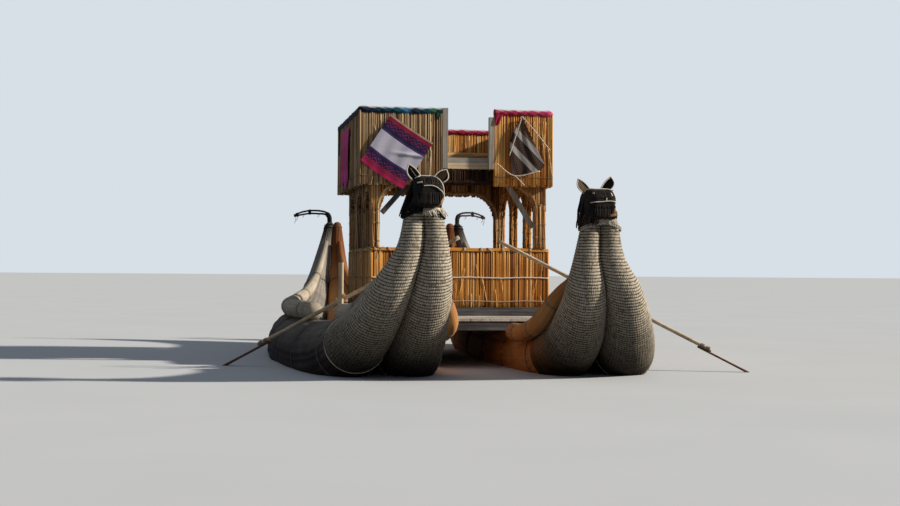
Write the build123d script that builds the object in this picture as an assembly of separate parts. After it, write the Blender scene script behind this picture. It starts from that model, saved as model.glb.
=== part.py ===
from build123d import *
import math
import os

os.makedirs("parts", exist_ok=True)

# A reed boat of two bundled hulls with puma-head prows, a planked foredeck and an open
# two-storey reed house. Millimetres. +Z is up, +Y is aft and +X is to port.
# The origin lies on the centreline, at the waterline, amidships.
# "aft" in the tables below is the distance behind the necks' front, and prow_y turns it into Y.

prow_y = -4300
seat = 0.3
# Longer than any reach that a trimming block or probe needs
beyond = 2500
cut_over = 1
sides = {"stbd": -1, "port": 1}

# Hulls: each is two tapered bundles pressed together along a flat seam.
# Columns: aft, height, pitch of the bundle's run, off centre, bundle radius, share of the neck drop.
hull_stations = [
    (40, 1660, -90, 860, 90, 1.0),
    (55, 1300, -84, 862, 127, 0.8),
    (130, 990, -68, 930, 185, 0.4),
    (340, 700, -48, 1000, 228, 0.0),
    (700, 440, -30, 1070, 280, 0.0),
    (1300, 225, -14, 1140, 340, 0.0),
    (1950, 150, -5, 1185, 373, 0.0),
    (2650, 115, -2, 1213, 398, 0.0),
    (3900, 100, 0, 1250, 420, 0.0),
    (5300, 115, 3, 1250, 410, 0.0),
    (6400, 235, 11, 1200, 345, 0.0),
    (7250, 500, 27, 1110, 255, 0.0),
    (7900, 950, 46, 1030, 160, 0.0),
    (8280, 1450, 62, 955, 95, 0.0),
    (8400, 1800, 78, 920, 60, 0.0),
]
neck_drop = {"stbd": 0, "port": 95}
squeeze = 0.96

# Rolls along the bundles' tops. Columns: hull station, degrees outward from the bundle's top, radius.
outer_fore_roll = [(1, 0, 45), (2, 0, 60), (3, 0, 85), (4, -9, 100), (5, -16, 105), (6, -14, 105)]
outer_aft_roll = [
    (7, 7, 105), (8, 14, 110), (9, 15, 105), (10, 10, 95), (11, 5, 75), (12, 0, 50), (13, 0, 32),
]
inner_fore_roll = [(2, 5, 45), (3, 30, 75), (4, 62, 92), (5, 60, 98), (6, 56, 100)]
inner_aft_roll = [(10, 50, 95), (11, 35, 75), (12, 15, 52), (13, 5, 32)]
outer_roll_clear = 0.9
inner_fore_clear = 3.8
inner_aft_clear = 1.9

# Puma head on each neck. Columns: aft of the neck's middle, half width, bottom, top, corner radius.
head_sections = [
    (190, 110, 0, 225, 70),
    (40, 150, 0, 300, 80),
    (-130, 160, 0, 295, 80),
    (-270, 130, 15, 205, 60),
]
mouth_height = 92
mouth_gap = 14
mouth_depth = 150
ear_inner = 92
ear_outer = 150
ear_base = 262
ear_tip = (172, 405)
ear_thick = 34
ear_forward = 20
ear_outer_drop = 60
ear_outer_bulge = 22
ear_inner_bulge = (12, 20)

collar_height = 85
collar_thick = 42
collar_slack = 3

# Tail hook on each stern: rises from the bundle's end and curls outboard and aft.
hook_radius = 24
hook_rise = 150
hook_reach = 620
hook_heading = 35
hook_bend = 130
hook_knee_share = 0.55
hook_knee_rise = 12
hook_knee_bend = 520
hook_tip_drop = 45

# Foredeck, aft deck and the beams under them
deck_front = 2150
plank_thick = 28
plank_gap = 6
deck_plank_count = 8
deck_half_width = 900
deck_beam_size = (1000, 60, 100)
fore_beam_insets = (40, 300)
aft_beam_insets = (200, 100)
aft_deck_length = 600

# House: the lower walls stand on a floor of packed reeds, off centre as built
house_front = 3200
house_back = 5600
house_stbd = -980
house_port = 1105
wall_flare_port = 35
floor_margin = 50
aft_deck_end = house_back + floor_margin + aft_deck_length
fore_beam_aft = [deck_front + fore_beam_insets[0], house_front - fore_beam_insets[1]]
aft_beam_aft = [house_back + aft_beam_insets[0], aft_deck_end - aft_beam_insets[1]]
floor_thick = 112
wall_thick = 70
wall_height = 690
doorway = (-100, 400)

# Arcades of bundled columns on the walls
arcade_thick = 90
arcade_height = 925
stbd_column = 110
port_column = 150
front_arch_height = 740
front_arch_corner = 330
side_arch_count = 3
side_column = 110
side_arch_height = 720

# Gallery on the arcades
edge_beam = (60, 70)
joist_count = 4
joist_width = 60
gallery_plank_count = 8
gallery_plank_thick = 60
gallery_stbd = -1130
gallery_port = 1170
mat_thick = 60
mat_bottom = 2070
mat_top = 2880
gap_stbd = -90
gap_port = 400
post_size = 60
post_tops = {"stbd": 2965, "port": 2870}
rim_radius = 45
rim_corner = 110
bench_radius = 120
bench_half_length = 860
bench_inset = 300

# Knee braces behind the front arch. Columns: x and z at the column, x and z at the beam.
knee_braces = [(965, 1590, 600, 2180), (-840, 1740, -500, 2130)]
brace_width = 60
brace_thick = 28

# Hung cloths: outlines in x and z on the front mats
cloth_thick = 8
cloth_corner = (-764, 2872)
cloth_size = (592, 640)
cloth_turn = -33
kite_outline = [(783, 2872), (643, 2597), (678, 2190), (988, 2245), (1064, 2315)]
side_cloth = (4100, 4950, 2090, 2815)

# Oars, each on a short roll between two stakes. Columns: height of the shaft over the water
# at the stakes, sweep aft, dip, shaft inboard, shaft outboard.
oar_table = {
    "stbd": (740, 28, 27, 1500, 1100),
    "port": (860, -30, 26, 1250, 1450),
}
thole_off = 1420
thole_aft = 2200
thole_half_gap = 90
stake_radius = 20
stake_top = 1150
oar_radius = 22
dip_range = 25
rowlock_radius = 12
rowlock_half_length = 25
cross_bar = (36, 25)
blade_length = 1050
blade_shoulder_share = 0.4
blade_overlap = 150
blade_width = (56, 140)
blade_thick = 16


def save(node, shape):
    shape.label = node
    export_step(shape, f"parts/{node}.step")


def at(aft):
    return prow_y + aft


def block(x0, x1, y0, y1, z0, z1):
    corner = (Align.MIN, Align.MIN, Align.MIN)
    return Pos(x0, y0, z0) * Box(x1 - x0, y1 - y0, z1 - z0, align=corner)


def halfway(before, start, end, after):
    """The row midway between two rows, on the smooth curve that also minds their neighbours."""
    return tuple((9 * (b + c) - a - d) / 16 for a, b, c, d in zip(before, start, end, after))


def fair_stations():
    """The hull's stations with one more between each two, so that the straight runs follow the curve."""
    first_step = [b - a for a, b in zip(*hull_stations[:2])]
    last_step = [b - a for a, b in zip(*hull_stations[-2:])]
    ahead = tuple(a - step for a, step in zip(hull_stations[0], first_step))
    behind = tuple(a + step for a, step in zip(hull_stations[-1], last_step))
    run = [ahead] + hull_stations + [behind]
    rows = []
    for before, start, end, after in zip(run, run[1:], run[2:], run[3:]):
        rows += [start, halfway(before, start, end, after)]
    return rows + [hull_stations[-1]]


def station_plane(row, side_name):
    """The plane across a hull at one station, with its local X to port and its local Y upward."""
    aft, height, pitch, off_centre, radius, share = row
    run = math.radians(pitch)
    middle = (sides[side_name] * off_centre, at(aft), height - share * neck_drop[side_name])
    return Plane(origin=middle, x_dir=(1, 0, 0), z_dir=(0, -math.cos(run), -math.sin(run)))


def bundle_section(row, side_name, way):
    """A circle with a flat seam at the hull's middle. way is 1 on the outboard bundle, -1 inboard."""
    radius = row[4]
    facing = sides[side_name] * way
    seam = seat / 2
    half_seam = math.sqrt(radius**2 - (squeeze * radius - seam) ** 2)
    far_side = (facing * (1 + squeeze) * radius, 0)
    arc = ThreePointArc((facing * seam, half_seam), far_side, (facing * seam, -half_seam))
    flat = Line((facing * seam, -half_seam), (facing * seam, half_seam))
    return station_plane(row, side_name) * make_face(Wire([arc, flat]))


def bundle(side_name, way):
    return loft([bundle_section(row, side_name, way) for row in fair_stations()], ruled=True)


def roll_section(row, turn, radius, side_name, way, clear):
    """A circle with a flat where the roll is lashed down on the bundle, turned outward from its top."""
    facing = sides[side_name] * way
    lean = math.radians(turn)
    out = (facing * math.sin(lean), math.cos(lean))
    reach = row[4] + squeeze * radius + clear
    middle = (facing * squeeze * row[4] + reach * out[0], reach * out[1])
    flat_middle = (middle[0] - squeeze * radius * out[0], middle[1] - squeeze * radius * out[1])
    half_flat = radius * math.sqrt(1 - squeeze**2)
    start = (flat_middle[0] - half_flat * out[1], flat_middle[1] + half_flat * out[0])
    end = (flat_middle[0] + half_flat * out[1], flat_middle[1] - half_flat * out[0])
    top = (middle[0] + radius * out[0], middle[1] + radius * out[1])
    return station_plane(row, side_name) * make_face(Wire([ThreePointArc(start, top, end), Line(end, start)]))


def roll(table, side_name, way, clear):
    rows = fair_stations()
    sections = []
    for start, end in zip(table, table[1:]):
        for part in (0, 0.5):
            station, turn, radius = (a + part * (b - a) for a, b in zip(start, end))
            sections.append(roll_section(rows[round(2 * station)], turn, radius, side_name, way, clear))
    station, turn, radius = table[-1]
    sections.append(roll_section(rows[round(2 * station)], turn, radius, side_name, way, clear))
    return loft(sections, ruled=True)


def neck_top(side_name):
    aft, height, pitch, off_centre, radius, share = hull_stations[0]
    return (sides[side_name] * off_centre, at(aft), height - share * neck_drop[side_name])


def puma_head(side_name):
    x, y, z = neck_top(side_name)
    sections = []
    for aft, half_width, bottom, top, corner in head_sections:
        plane = Plane(origin=(x, y + aft, z + seat), x_dir=(1, 0, 0), z_dir=(0, -1, 0))
        outline = RectangleRounded(2 * half_width, top - bottom, corner)
        sections.append(plane * Pos(0, (top + bottom) / 2) * outline)
    below_neck = block(x - beyond, x + beyond, y - beyond, y + beyond, z - beyond, z + seat)
    snout = y + head_sections[-1][0]
    lip = z + mouth_height
    mouth = block(x - beyond, x + beyond, snout - beyond, snout + mouth_depth, lip, lip + mouth_gap)
    head = loft(sections) - below_neck - mouth
    tip_x, tip_z = ear_tip
    ear_middle = (ear_base + tip_z) / 2
    bulge_out, bulge_up = ear_inner_bulge
    plane = Plane(origin=(x, y - ear_forward, z + seat), x_dir=(1, 0, 0), z_dir=(0, -1, 0))
    for way in (-1, 1):
        inner = (way * ear_inner, ear_base)
        outer = (way * ear_outer, ear_base - ear_outer_drop)
        tip = (way * tip_x, tip_z)
        outer_bulge = (way * (ear_outer + ear_outer_bulge), ear_middle)
        inner_bulge = (way * (ear_inner + bulge_out), ear_middle + bulge_up)
        outer_arc = ThreePointArc(outer, outer_bulge, tip)
        inner_arc = ThreePointArc(tip, inner_bulge, inner)
        edge = Wire([outer_arc, inner_arc, Line(inner, outer)])
        head = head + extrude(plane * make_face(edge), ear_thick)
    return head


def neck_collar(side_name):
    x, y, z = neck_top(side_name)
    top_row, next_row = hull_stations[:2]
    widening = (next_row[4] - top_row[4]) / (top_row[1] - next_row[1])
    lower_radius = top_row[4] + collar_height * widening
    half_width = (1 + squeeze) * lower_radius + collar_slack
    half_depth = lower_radius + collar_slack
    outer = SlotOverall(2 * (half_width + collar_thick), 2 * (half_depth + collar_thick))
    inner = SlotOverall(2 * half_width, 2 * half_depth)
    ring = extrude(outer - inner, collar_height)
    return Pos(x, y, z - collar_height) * ring


def stern_hook(side_name):
    row = hull_stations[-1]
    side = sides[side_name]
    end = station_plane(row, side_name)
    run = math.radians(row[2])
    onward = Vector(0, math.cos(run), math.sin(run))
    start = end.origin + Vector(side * squeeze * row[4], 0, 0) + onward * seat
    heading = math.radians(hook_heading)
    out = Vector(side * math.cos(heading), math.sin(heading), 0)
    corner = start + onward * hook_rise
    knee = corner + out * (hook_reach * hook_knee_share) + Vector(0, 0, hook_knee_rise)
    tip = corner + out * hook_reach - Vector(0, 0, hook_tip_drop)
    path = FilletPolyline(start, corner, knee, tip, radius=(hook_bend, hook_knee_bend))
    return sweep(Plane(origin=start, z_dir=path % 0) * Circle(hook_radius), path=path)


def crest(bundles, y0, y1):
    """The highest point of the bundles between two places along the boat."""
    slab = block(-beyond, beyond, y0, y1, 0, beyond)
    return max((piece & slab).bounding_box().max.Z for piece in bundles)


def spread(count, low, high, gap):
    """The near and far edges of planks laid side by side."""
    width = (high - low - (count - 1) * gap) / count
    starts = [low + number * (width + gap) for number in range(count)]
    return [(start, start + width) for start in starts]


def deck(y0, y1, z0, beam_places):
    """Fore-and-aft planks on the bundles' crests, and the beams that carry them between the hulls."""
    edges = spread(deck_plank_count, -deck_half_width, deck_half_width, plank_gap)
    planks = [block(x0, x1, y0, y1, z0, z0 + plank_thick) for x0, x1 in edges]
    length, width, depth = deck_beam_size
    top = z0 - seat
    beam = block(-length / 2, length / 2, -width / 2, width / 2, top - depth, top)
    return planks, [Pos(0, at(aft), 0) * beam for aft in beam_places]


def arcade_across(y0, z0):
    """The arcade across the house, with one wide arch between the corner columns."""
    frame = block(house_stbd, house_port, y0, y0 + arcade_thick, z0, z0 + arcade_height)
    left = house_stbd + stbd_column
    right = house_port - port_column
    corner = front_arch_corner
    spring = z0 + front_arch_height - corner
    near, far = y0 - cut_over, y0 + arcade_thick + cut_over
    opening = block(left, right, near, far, z0 - cut_over, spring)
    opening += block(left + corner, right - corner, near, far, z0, spring + corner)
    for centre in (left + corner, right - corner):
        drum = Cylinder(corner, arcade_thick + 2 * cut_over, rotation=(90, 0, 0))
        opening += Pos(centre, y0 + arcade_thick / 2, spring) * drum
    return frame - opening


def arcade_along(x0, y0, y1, z0):
    """The arcade along one side, with round arches between slender columns."""
    frame = block(x0, x0 + arcade_thick, y0, y1, z0, z0 + arcade_height)
    bay = (y1 - y0 - (side_arch_count - 1) * side_column) / side_arch_count
    radius = bay / 2
    spring = z0 + side_arch_height - radius
    for number in range(side_arch_count):
        start = y0 + number * (bay + side_column)
        near, far = x0 - cut_over, x0 + arcade_thick + cut_over
        frame -= block(near, far, start, start + bay, z0 - cut_over, spring)
        drum = Cylinder(radius, arcade_thick + 2 * cut_over, rotation=(0, 90, 0))
        frame -= Pos(x0 + arcade_thick / 2, start + radius, spring) * drum
    return frame


def rim(points, corner_radius):
    path = FilletPolyline(*points, radius=corner_radius) if len(points) > 2 else Line(*points)
    return sweep(Plane(origin=points[0], z_dir=path % 0) * Circle(rim_radius), path=path)


def plank_between(x0, z0, x1, z1, y0):
    length = math.hypot(x1 - x0, z1 - z0)
    turn = math.degrees(math.atan2(z1 - z0, x1 - x0))
    board = Box(length, brace_thick, brace_width)
    middle_y = y0 + brace_thick / 2
    return Pos((x0 + x1) / 2, middle_y, (z0 + z1) / 2) * Rot(0, -turn, 0) * board


def upright_panel(outline, y0, thick):
    """A flat panel facing forward, from an outline of x and z."""
    plane = Plane(origin=(0, y0, 0), x_dir=(1, 0, 0), z_dir=(0, -1, 0))
    return extrude(plane * make_face(Polyline(*outline, close=True)), thick)


def oar_frame(side_name):
    """The oar's own frame: origin at the stakes, X along the shaft outboard, Y level."""
    height, sweep_aft, dip, inboard, outboard = oar_table[side_name]
    side = sides[side_name]
    sweep_angle = math.radians(sweep_aft)
    dip_angle = math.radians(dip)
    level = Vector(side * math.cos(sweep_angle), math.sin(sweep_angle), 0)
    along = level * math.cos(dip_angle) + Vector(0, 0, -math.sin(dip_angle))
    normal = level * math.sin(dip_angle) + Vector(0, 0, math.cos(dip_angle))
    pivot = (side * thole_off, at(thole_aft), height)
    return Plane(origin=pivot, x_dir=along, z_dir=normal)


def oar_shaft(side_name):
    height, sweep_aft, dip, inboard, outboard = oar_table[side_name]
    length = inboard + outboard
    shaft = Cylinder(oar_radius, length, rotation=(0, 90, 0))
    return oar_frame(side_name) * Pos((outboard - inboard) / 2, 0, 0) * shaft


def oar_blade(side_name):
    outboard = oar_table[side_name][4]
    start = outboard - blade_overlap
    end = start + blade_length
    neck = blade_width[0] / 2
    tip = blade_width[1] / 2
    shoulder = start + blade_length * blade_shoulder_share
    outline = [(start, -neck), (shoulder, -neck), (end, -tip), (end, tip), (shoulder, neck), (start, neck)]
    top = -oar_radius - seat
    board = extrude(Pos(0, 0, top - blade_thick) * make_face(Polyline(*outline, close=True)), blade_thick)
    return oar_frame(side_name) * board


def rowlock_distance():
    """How far under the shaft's axis the roll lies so that the shaft rocks just clear of it."""
    half_turn = math.radians(dip_range / 2)
    return (oar_radius + seat + rowlock_radius) / math.cos(half_turn)


def rowlock_centre(side_name):
    height, sweep_aft, dip, inboard, outboard = oar_table[side_name]
    middle_dip = math.radians(dip - dip_range / 2)
    level = Vector(sides[side_name] * math.cos(math.radians(sweep_aft)), math.sin(math.radians(sweep_aft)), 0)
    below = level * -math.sin(middle_dip) + Vector(0, 0, -math.cos(middle_dip))
    return Vector(sides[side_name] * thole_off, at(thole_aft), height) + below * rowlock_distance()


def rowlock_roll(side_name):
    sweep_aft = oar_table[side_name][1]
    axle = Vector(-sides[side_name] * math.sin(math.radians(sweep_aft)), math.cos(math.radians(sweep_aft)), 0)
    plane = Plane(origin=rowlock_centre(side_name), z_dir=axle)
    return plane * Cylinder(rowlock_radius, 2 * rowlock_half_length)


def thole_set(side_name, outer_bundle):
    """Two stakes on the outboard bundle and the bar between them that carries the rowlock roll."""
    x = sides[side_name] * thole_off
    pieces = []
    for way in (-1, 1):
        y = at(thole_aft) + way * thole_half_gap
        core = Pos(x, y, 0) * Cylinder(stake_radius, beyond)
        foot = (outer_bundle & core).bounding_box().max.Z + seat
        stake = Cylinder(stake_radius, stake_top - foot, align=(Align.CENTER, Align.CENTER, Align.MIN))
        pieces.append(Pos(x, y, foot) * stake)
    half_length = thole_half_gap - stake_radius - seat
    top = rowlock_centre(side_name).Z - rowlock_radius - seat
    width, thick = cross_bar
    bar = block(-width / 2, width / 2, -half_length, half_length, top - thick, top)
    pieces.append(Pos(x, at(thole_aft), 0) * bar)
    return Compound(pieces)


outer_bundles = {}
inner_bundles = {}
for name in sides:
    outer_bundles[name] = bundle(name, 1)
    inner_bundles[name] = bundle(name, -1)
    save(f"hull_outer_bundle_{name}", outer_bundles[name])
    save(f"hull_inner_bundle_{name}", inner_bundles[name])
    save(f"gunwale_outer_fore_{name}", roll(outer_fore_roll, name, 1, outer_roll_clear))
    save(f"gunwale_outer_aft_{name}", roll(outer_aft_roll, name, 1, outer_roll_clear))
    inner_rolls = [
        roll(inner_fore_roll, name, -1, inner_fore_clear),
        roll(inner_aft_roll, name, -1, inner_aft_clear),
    ]
    save(f"gunwale_inner_{name}", Compound(inner_rolls))
    save(f"puma_head_{name}", puma_head(name))
    save(f"neck_collar_{name}", neck_collar(name))
    save(f"stern_hook_{name}", stern_hook(name))
    save(f"thole_stakes_{name}", thole_set(name, outer_bundles[name]))
    save(f"rowlock_roll_{name}", rowlock_roll(name))
    save(f"oar_shaft_{name}", oar_shaft(name))
    save(f"oar_blade_{name}", oar_blade(name))

# Decks
bundles = list(outer_bundles.values()) + list(inner_bundles.values())
floor_front = at(house_front - floor_margin)
floor_back = at(house_back + floor_margin)
fore_z = crest(bundles, at(deck_front), floor_front) + seat
fore_planks, fore_beams = deck(at(deck_front), floor_front - seat, fore_z, fore_beam_aft)
aft_z = crest(bundles, floor_back, at(aft_deck_end)) + seat
aft_planks, aft_beams = deck(floor_back + seat, at(aft_deck_end), aft_z, aft_beam_aft)
save("deck_planks_fore", Compound(fore_planks))
save("deck_planks_aft", Compound(aft_planks))
save("deck_beams", Compound(fore_beams + aft_beams))

# House
floor_z = crest(bundles, floor_front, floor_back) + seat
floor_top = floor_z + floor_thick
floor_x0 = house_stbd - floor_margin
floor_x1 = house_port + wall_flare_port + floor_margin
save("house_floor", block(floor_x0, floor_x1, floor_front, floor_back, floor_z, floor_top))
wall_z = floor_top + seat
wall_top = wall_z + wall_height
front_y = at(house_front)
back_y = at(house_back)
wall_port_face = house_port + wall_flare_port
save("wall_front", block(house_stbd, wall_port_face, front_y, front_y + wall_thick, wall_z, wall_top))
back_walls = [
    block(house_stbd, doorway[0], back_y - wall_thick, back_y, wall_z, wall_top),
    block(doorway[1], wall_port_face, back_y - wall_thick, back_y, wall_z, wall_top),
]
save("wall_back", Compound(back_walls))
side_y0 = front_y + wall_thick + seat
side_y1 = back_y - wall_thick - seat
save("wall_stbd", block(house_stbd, house_stbd + wall_thick, side_y0, side_y1, wall_z, wall_top))
save("wall_port", block(wall_port_face - wall_thick, wall_port_face, side_y0, side_y1, wall_z, wall_top))

arcade_z = wall_top + seat
save("arcade_front", arcade_across(front_y, arcade_z))
save("arcade_back", arcade_across(back_y - arcade_thick, arcade_z))
arcade_y0 = front_y + arcade_thick + seat
arcade_y1 = back_y - arcade_thick - seat
save("arcade_stbd", arcade_along(house_stbd, arcade_y0, arcade_y1, arcade_z))
save("arcade_port", arcade_along(house_port - arcade_thick, arcade_y0, arcade_y1, arcade_z))
save("knee_braces", Compound([plank_between(*row, arcade_y0) for row in knee_braces]))

# Gallery
beam_z = arcade_z + arcade_height + seat
beam_width, beam_depth = edge_beam
gallery_x0 = gallery_stbd + mat_thick + seat
gallery_x1 = gallery_port - mat_thick - seat
frame_pieces = [
    block(gallery_x0, gallery_x1, front_y, front_y + beam_width, beam_z, beam_z + beam_depth),
    block(gallery_x0, gallery_x1, back_y - beam_width, back_y, beam_z, beam_z + beam_depth),
]
joist_y0 = front_y + beam_width + seat
joist_y1 = back_y - beam_width - seat
joist_step = (gallery_x1 - gallery_x0 - joist_width) / (joist_count - 1)
for number in range(joist_count):
    x = gallery_x0 + number * joist_step
    frame_pieces.append(block(x, x + joist_width, joist_y0, joist_y1, beam_z, beam_z + beam_depth))
save("gallery_beams", Compound(frame_pieces))
gallery_z = beam_z + beam_depth + seat
gallery_top = gallery_z + gallery_plank_thick
gallery_edges = spread(gallery_plank_count, front_y, back_y, plank_gap)
gallery_planks = [block(gallery_x0, gallery_x1, y0, y1, gallery_z, gallery_top) for y0, y1 in gallery_edges]
save("gallery_floor", Compound(gallery_planks))

mat_y0 = front_y - seat - mat_thick
mat_y1 = back_y + seat + mat_thick
mat_front_back = front_y - seat
gap_mat_stbd = gap_stbd - post_size - seat
gap_mat_port = gap_port + post_size + seat
save("parapet_front_stbd", block(gallery_stbd, gap_mat_stbd, mat_y0, mat_front_back, mat_bottom, mat_top))
save("parapet_front_port", block(gap_mat_port, gallery_port, mat_y0, mat_front_back, mat_bottom, mat_top))
save("parapet_stbd", block(gallery_stbd, gallery_stbd + mat_thick, front_y, back_y, mat_bottom, mat_top))
save("parapet_port", block(gallery_port - mat_thick, gallery_port, front_y, back_y, mat_bottom, mat_top))
save("parapet_back", block(gallery_stbd, gallery_port, back_y + seat, mat_y1, mat_bottom, mat_top))
posts = [
    block(gap_mat_stbd + seat, gap_stbd, mat_y0, mat_front_back, beam_z, post_tops["stbd"]),
    block(gap_port, gap_mat_port - seat, mat_y0, mat_front_back, beam_z, post_tops["port"]),
]
save("gap_posts", Compound(posts))

rim_z = mat_top + seat + rim_radius
rim_front = mat_y0 + mat_thick / 2
rim_back = mat_y1 - mat_thick / 2
stbd_line = gallery_stbd + mat_thick / 2
port_line = gallery_port - mat_thick / 2
side_end = rim_back - rim_radius - seat
save("rim_stbd", rim([
    (gap_mat_stbd, rim_front, rim_z),
    (stbd_line, rim_front, rim_z),
    (stbd_line, side_end, rim_z),
], rim_corner))
save("rim_port", rim([
    (gap_mat_port, rim_front, rim_z),
    (port_line, rim_front, rim_z),
    (port_line, side_end, rim_z),
], rim_corner))
save("rim_back", rim([(gallery_stbd, rim_back, rim_z), (gallery_port, rim_back, rim_z)], rim_corner))
bench_z = gallery_top + seat + bench_radius
bench = Cylinder(bench_radius, 2 * bench_half_length, rotation=(0, 90, 0))
save("gallery_bench", Pos((gallery_stbd + gallery_port) / 2, back_y - bench_inset, bench_z) * bench)

# Cloths hung on the gallery
cloth_y = mat_y0 - seat
turn = math.radians(cloth_turn)
across = (math.cos(turn) * cloth_size[0], math.sin(turn) * cloth_size[0])
down = (math.sin(turn) * cloth_size[1], -math.cos(turn) * cloth_size[1])
corner_x, corner_z = cloth_corner
cloth_outline = [
    (corner_x, corner_z),
    (corner_x + across[0], corner_z + across[1]),
    (corner_x + across[0] + down[0], corner_z + across[1] + down[1]),
    (corner_x + down[0], corner_z + down[1]),
]
save("cloth_stbd", upright_panel(cloth_outline, cloth_y, cloth_thick))
save("cloth_port", upright_panel(kite_outline, cloth_y, cloth_thick))
cloth_aft0, cloth_aft1, cloth_z0, cloth_z1 = side_cloth
save("cloth_side", block(
    gallery_stbd - seat - cloth_thick, gallery_stbd - seat,
    at(cloth_aft0), at(cloth_aft1), cloth_z0, cloth_z1,
))
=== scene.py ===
import math

import bmesh
import bpy
import numpy as np
from mathutils import Matrix, Vector
from mathutils.bvhtree import BVHTree


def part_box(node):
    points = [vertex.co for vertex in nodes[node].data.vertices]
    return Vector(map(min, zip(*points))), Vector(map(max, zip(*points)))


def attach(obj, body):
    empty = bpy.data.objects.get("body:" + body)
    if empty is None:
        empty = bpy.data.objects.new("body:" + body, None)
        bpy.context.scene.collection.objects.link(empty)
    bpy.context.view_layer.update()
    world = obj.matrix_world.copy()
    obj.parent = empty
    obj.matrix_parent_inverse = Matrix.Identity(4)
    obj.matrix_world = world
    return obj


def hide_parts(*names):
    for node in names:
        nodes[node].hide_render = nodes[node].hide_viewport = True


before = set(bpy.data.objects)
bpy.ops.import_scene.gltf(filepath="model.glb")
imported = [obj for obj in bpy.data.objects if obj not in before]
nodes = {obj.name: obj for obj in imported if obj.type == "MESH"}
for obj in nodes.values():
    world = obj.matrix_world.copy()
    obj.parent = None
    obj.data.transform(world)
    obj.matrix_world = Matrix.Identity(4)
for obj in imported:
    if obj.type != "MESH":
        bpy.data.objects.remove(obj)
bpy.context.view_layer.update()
rng = np.random.default_rng(7)

# Driving dimensions, in metres
prow_y = -4.3
sides = {"stbd": -1, "port": 1}
neck_drop = {"stbd": 0.0, "port": 0.095}
# How far a bundle's centre stands off the seam, as a share of its radius
squeeze = 0.96

# Columns: aft of the necks' front, height, pitch in degrees, off centre, bundle radius, share of the drop
hull_stations = np.array([
    (0.04, 1.66, -90, 0.86, 0.09, 1.0),
    (0.055, 1.3, -84, 0.862, 0.127, 0.8),
    (0.13, 0.99, -68, 0.93, 0.185, 0.4),
    (0.34, 0.7, -48, 1.0, 0.228, 0.0),
    (0.7, 0.44, -30, 1.07, 0.28, 0.0),
    (1.3, 0.225, -14, 1.14, 0.34, 0.0),
    (1.95, 0.15, -5, 1.185, 0.373, 0.0),
    (2.65, 0.115, -2, 1.213, 0.398, 0.0),
    (3.9, 0.1, 0, 1.25, 0.42, 0.0),
    (5.3, 0.115, 3, 1.25, 0.41, 0.0),
    (6.4, 0.235, 11, 1.2, 0.345, 0.0),
    (7.25, 0.5, 27, 1.11, 0.255, 0.0),
    (7.9, 0.95, 46, 1.03, 0.16, 0.0),
    (8.28, 1.45, 62, 0.955, 0.095, 0.0),
    (8.4, 1.8, 78, 0.92, 0.06, 0.0),
])

# Rolls on the bundles. Columns: hull station, degrees outward from the bundle's top, radius.
rolls = {
    "outer_fore": (1, [(1, 0, 0.045), (2, 0, 0.06), (3, 0, 0.085), (4, -9, 0.1), (5, -16, 0.105),
                       (6, -14, 0.105)]),
    "outer_aft": (1, [(7, 7, 0.105), (8, 14, 0.11), (9, 15, 0.105), (10, 10, 0.095), (11, 5, 0.075),
                      (12, 0, 0.05), (13, 0, 0.032)]),
    "inner_fore": (-1, [(2, 5, 0.045), (3, 30, 0.075), (4, 62, 0.092), (5, 60, 0.098), (6, 56, 0.1)]),
    "inner_aft": (-1, [(10, 50, 0.095), (11, 35, 0.075), (12, 15, 0.052), (13, 5, 0.032)]),
}

# The prows are bound with cord in close ribs as far aft as this on each bundle, outer and inner
bound_end = {("stbd", 1): 0.95, ("stbd", -1): 1.25, ("port", 1): 1.15, ("port", -1): 1.3}
# The ribs of one bundle fade out between two distances from the neck
fading_bundle = ("port", -1)
rib_fade = (1.5, 2.0)
rib_pitch = 0.028
rib_height = 0.0055
neck_shoulder = 0.04
bound_around = 88

# Abaft the binding the bundles are bare but for a few cords that pinch them
bare_around = 112
bare_step = 0.07
lash_spacing = 1.15
lash_pinch = 0.035
lash_cord, edge_cord, roll_cord = 0.0042, 0.0055, 0.0045

# Points round a roll, and the points along it at its first tie and from tie to tie
roll_around = 36
tie_first, tie_step = 12, 17

# Heads, measured from the neck's centre and the head's base: across and up
head_inboard = 0.03
head_crown = 0.292
ear_forward = 0.05
brow_cord, mouth_cord, tooth_cord, ear_cord = 0.0066, 0.0052, 0.005, 0.006
face_reed, chin_reed = 0.0058, 0.0062
head_voxel = 0.009
snout_reach, lean_rise = 0.2, 0.1
forehead_foot, forehead_rise = 0.19, 0.1
cheek_width, snout_narrowing = 0.9, 0.14
mane_strands, mane_first, mane_last = 125, -38, 250

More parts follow.
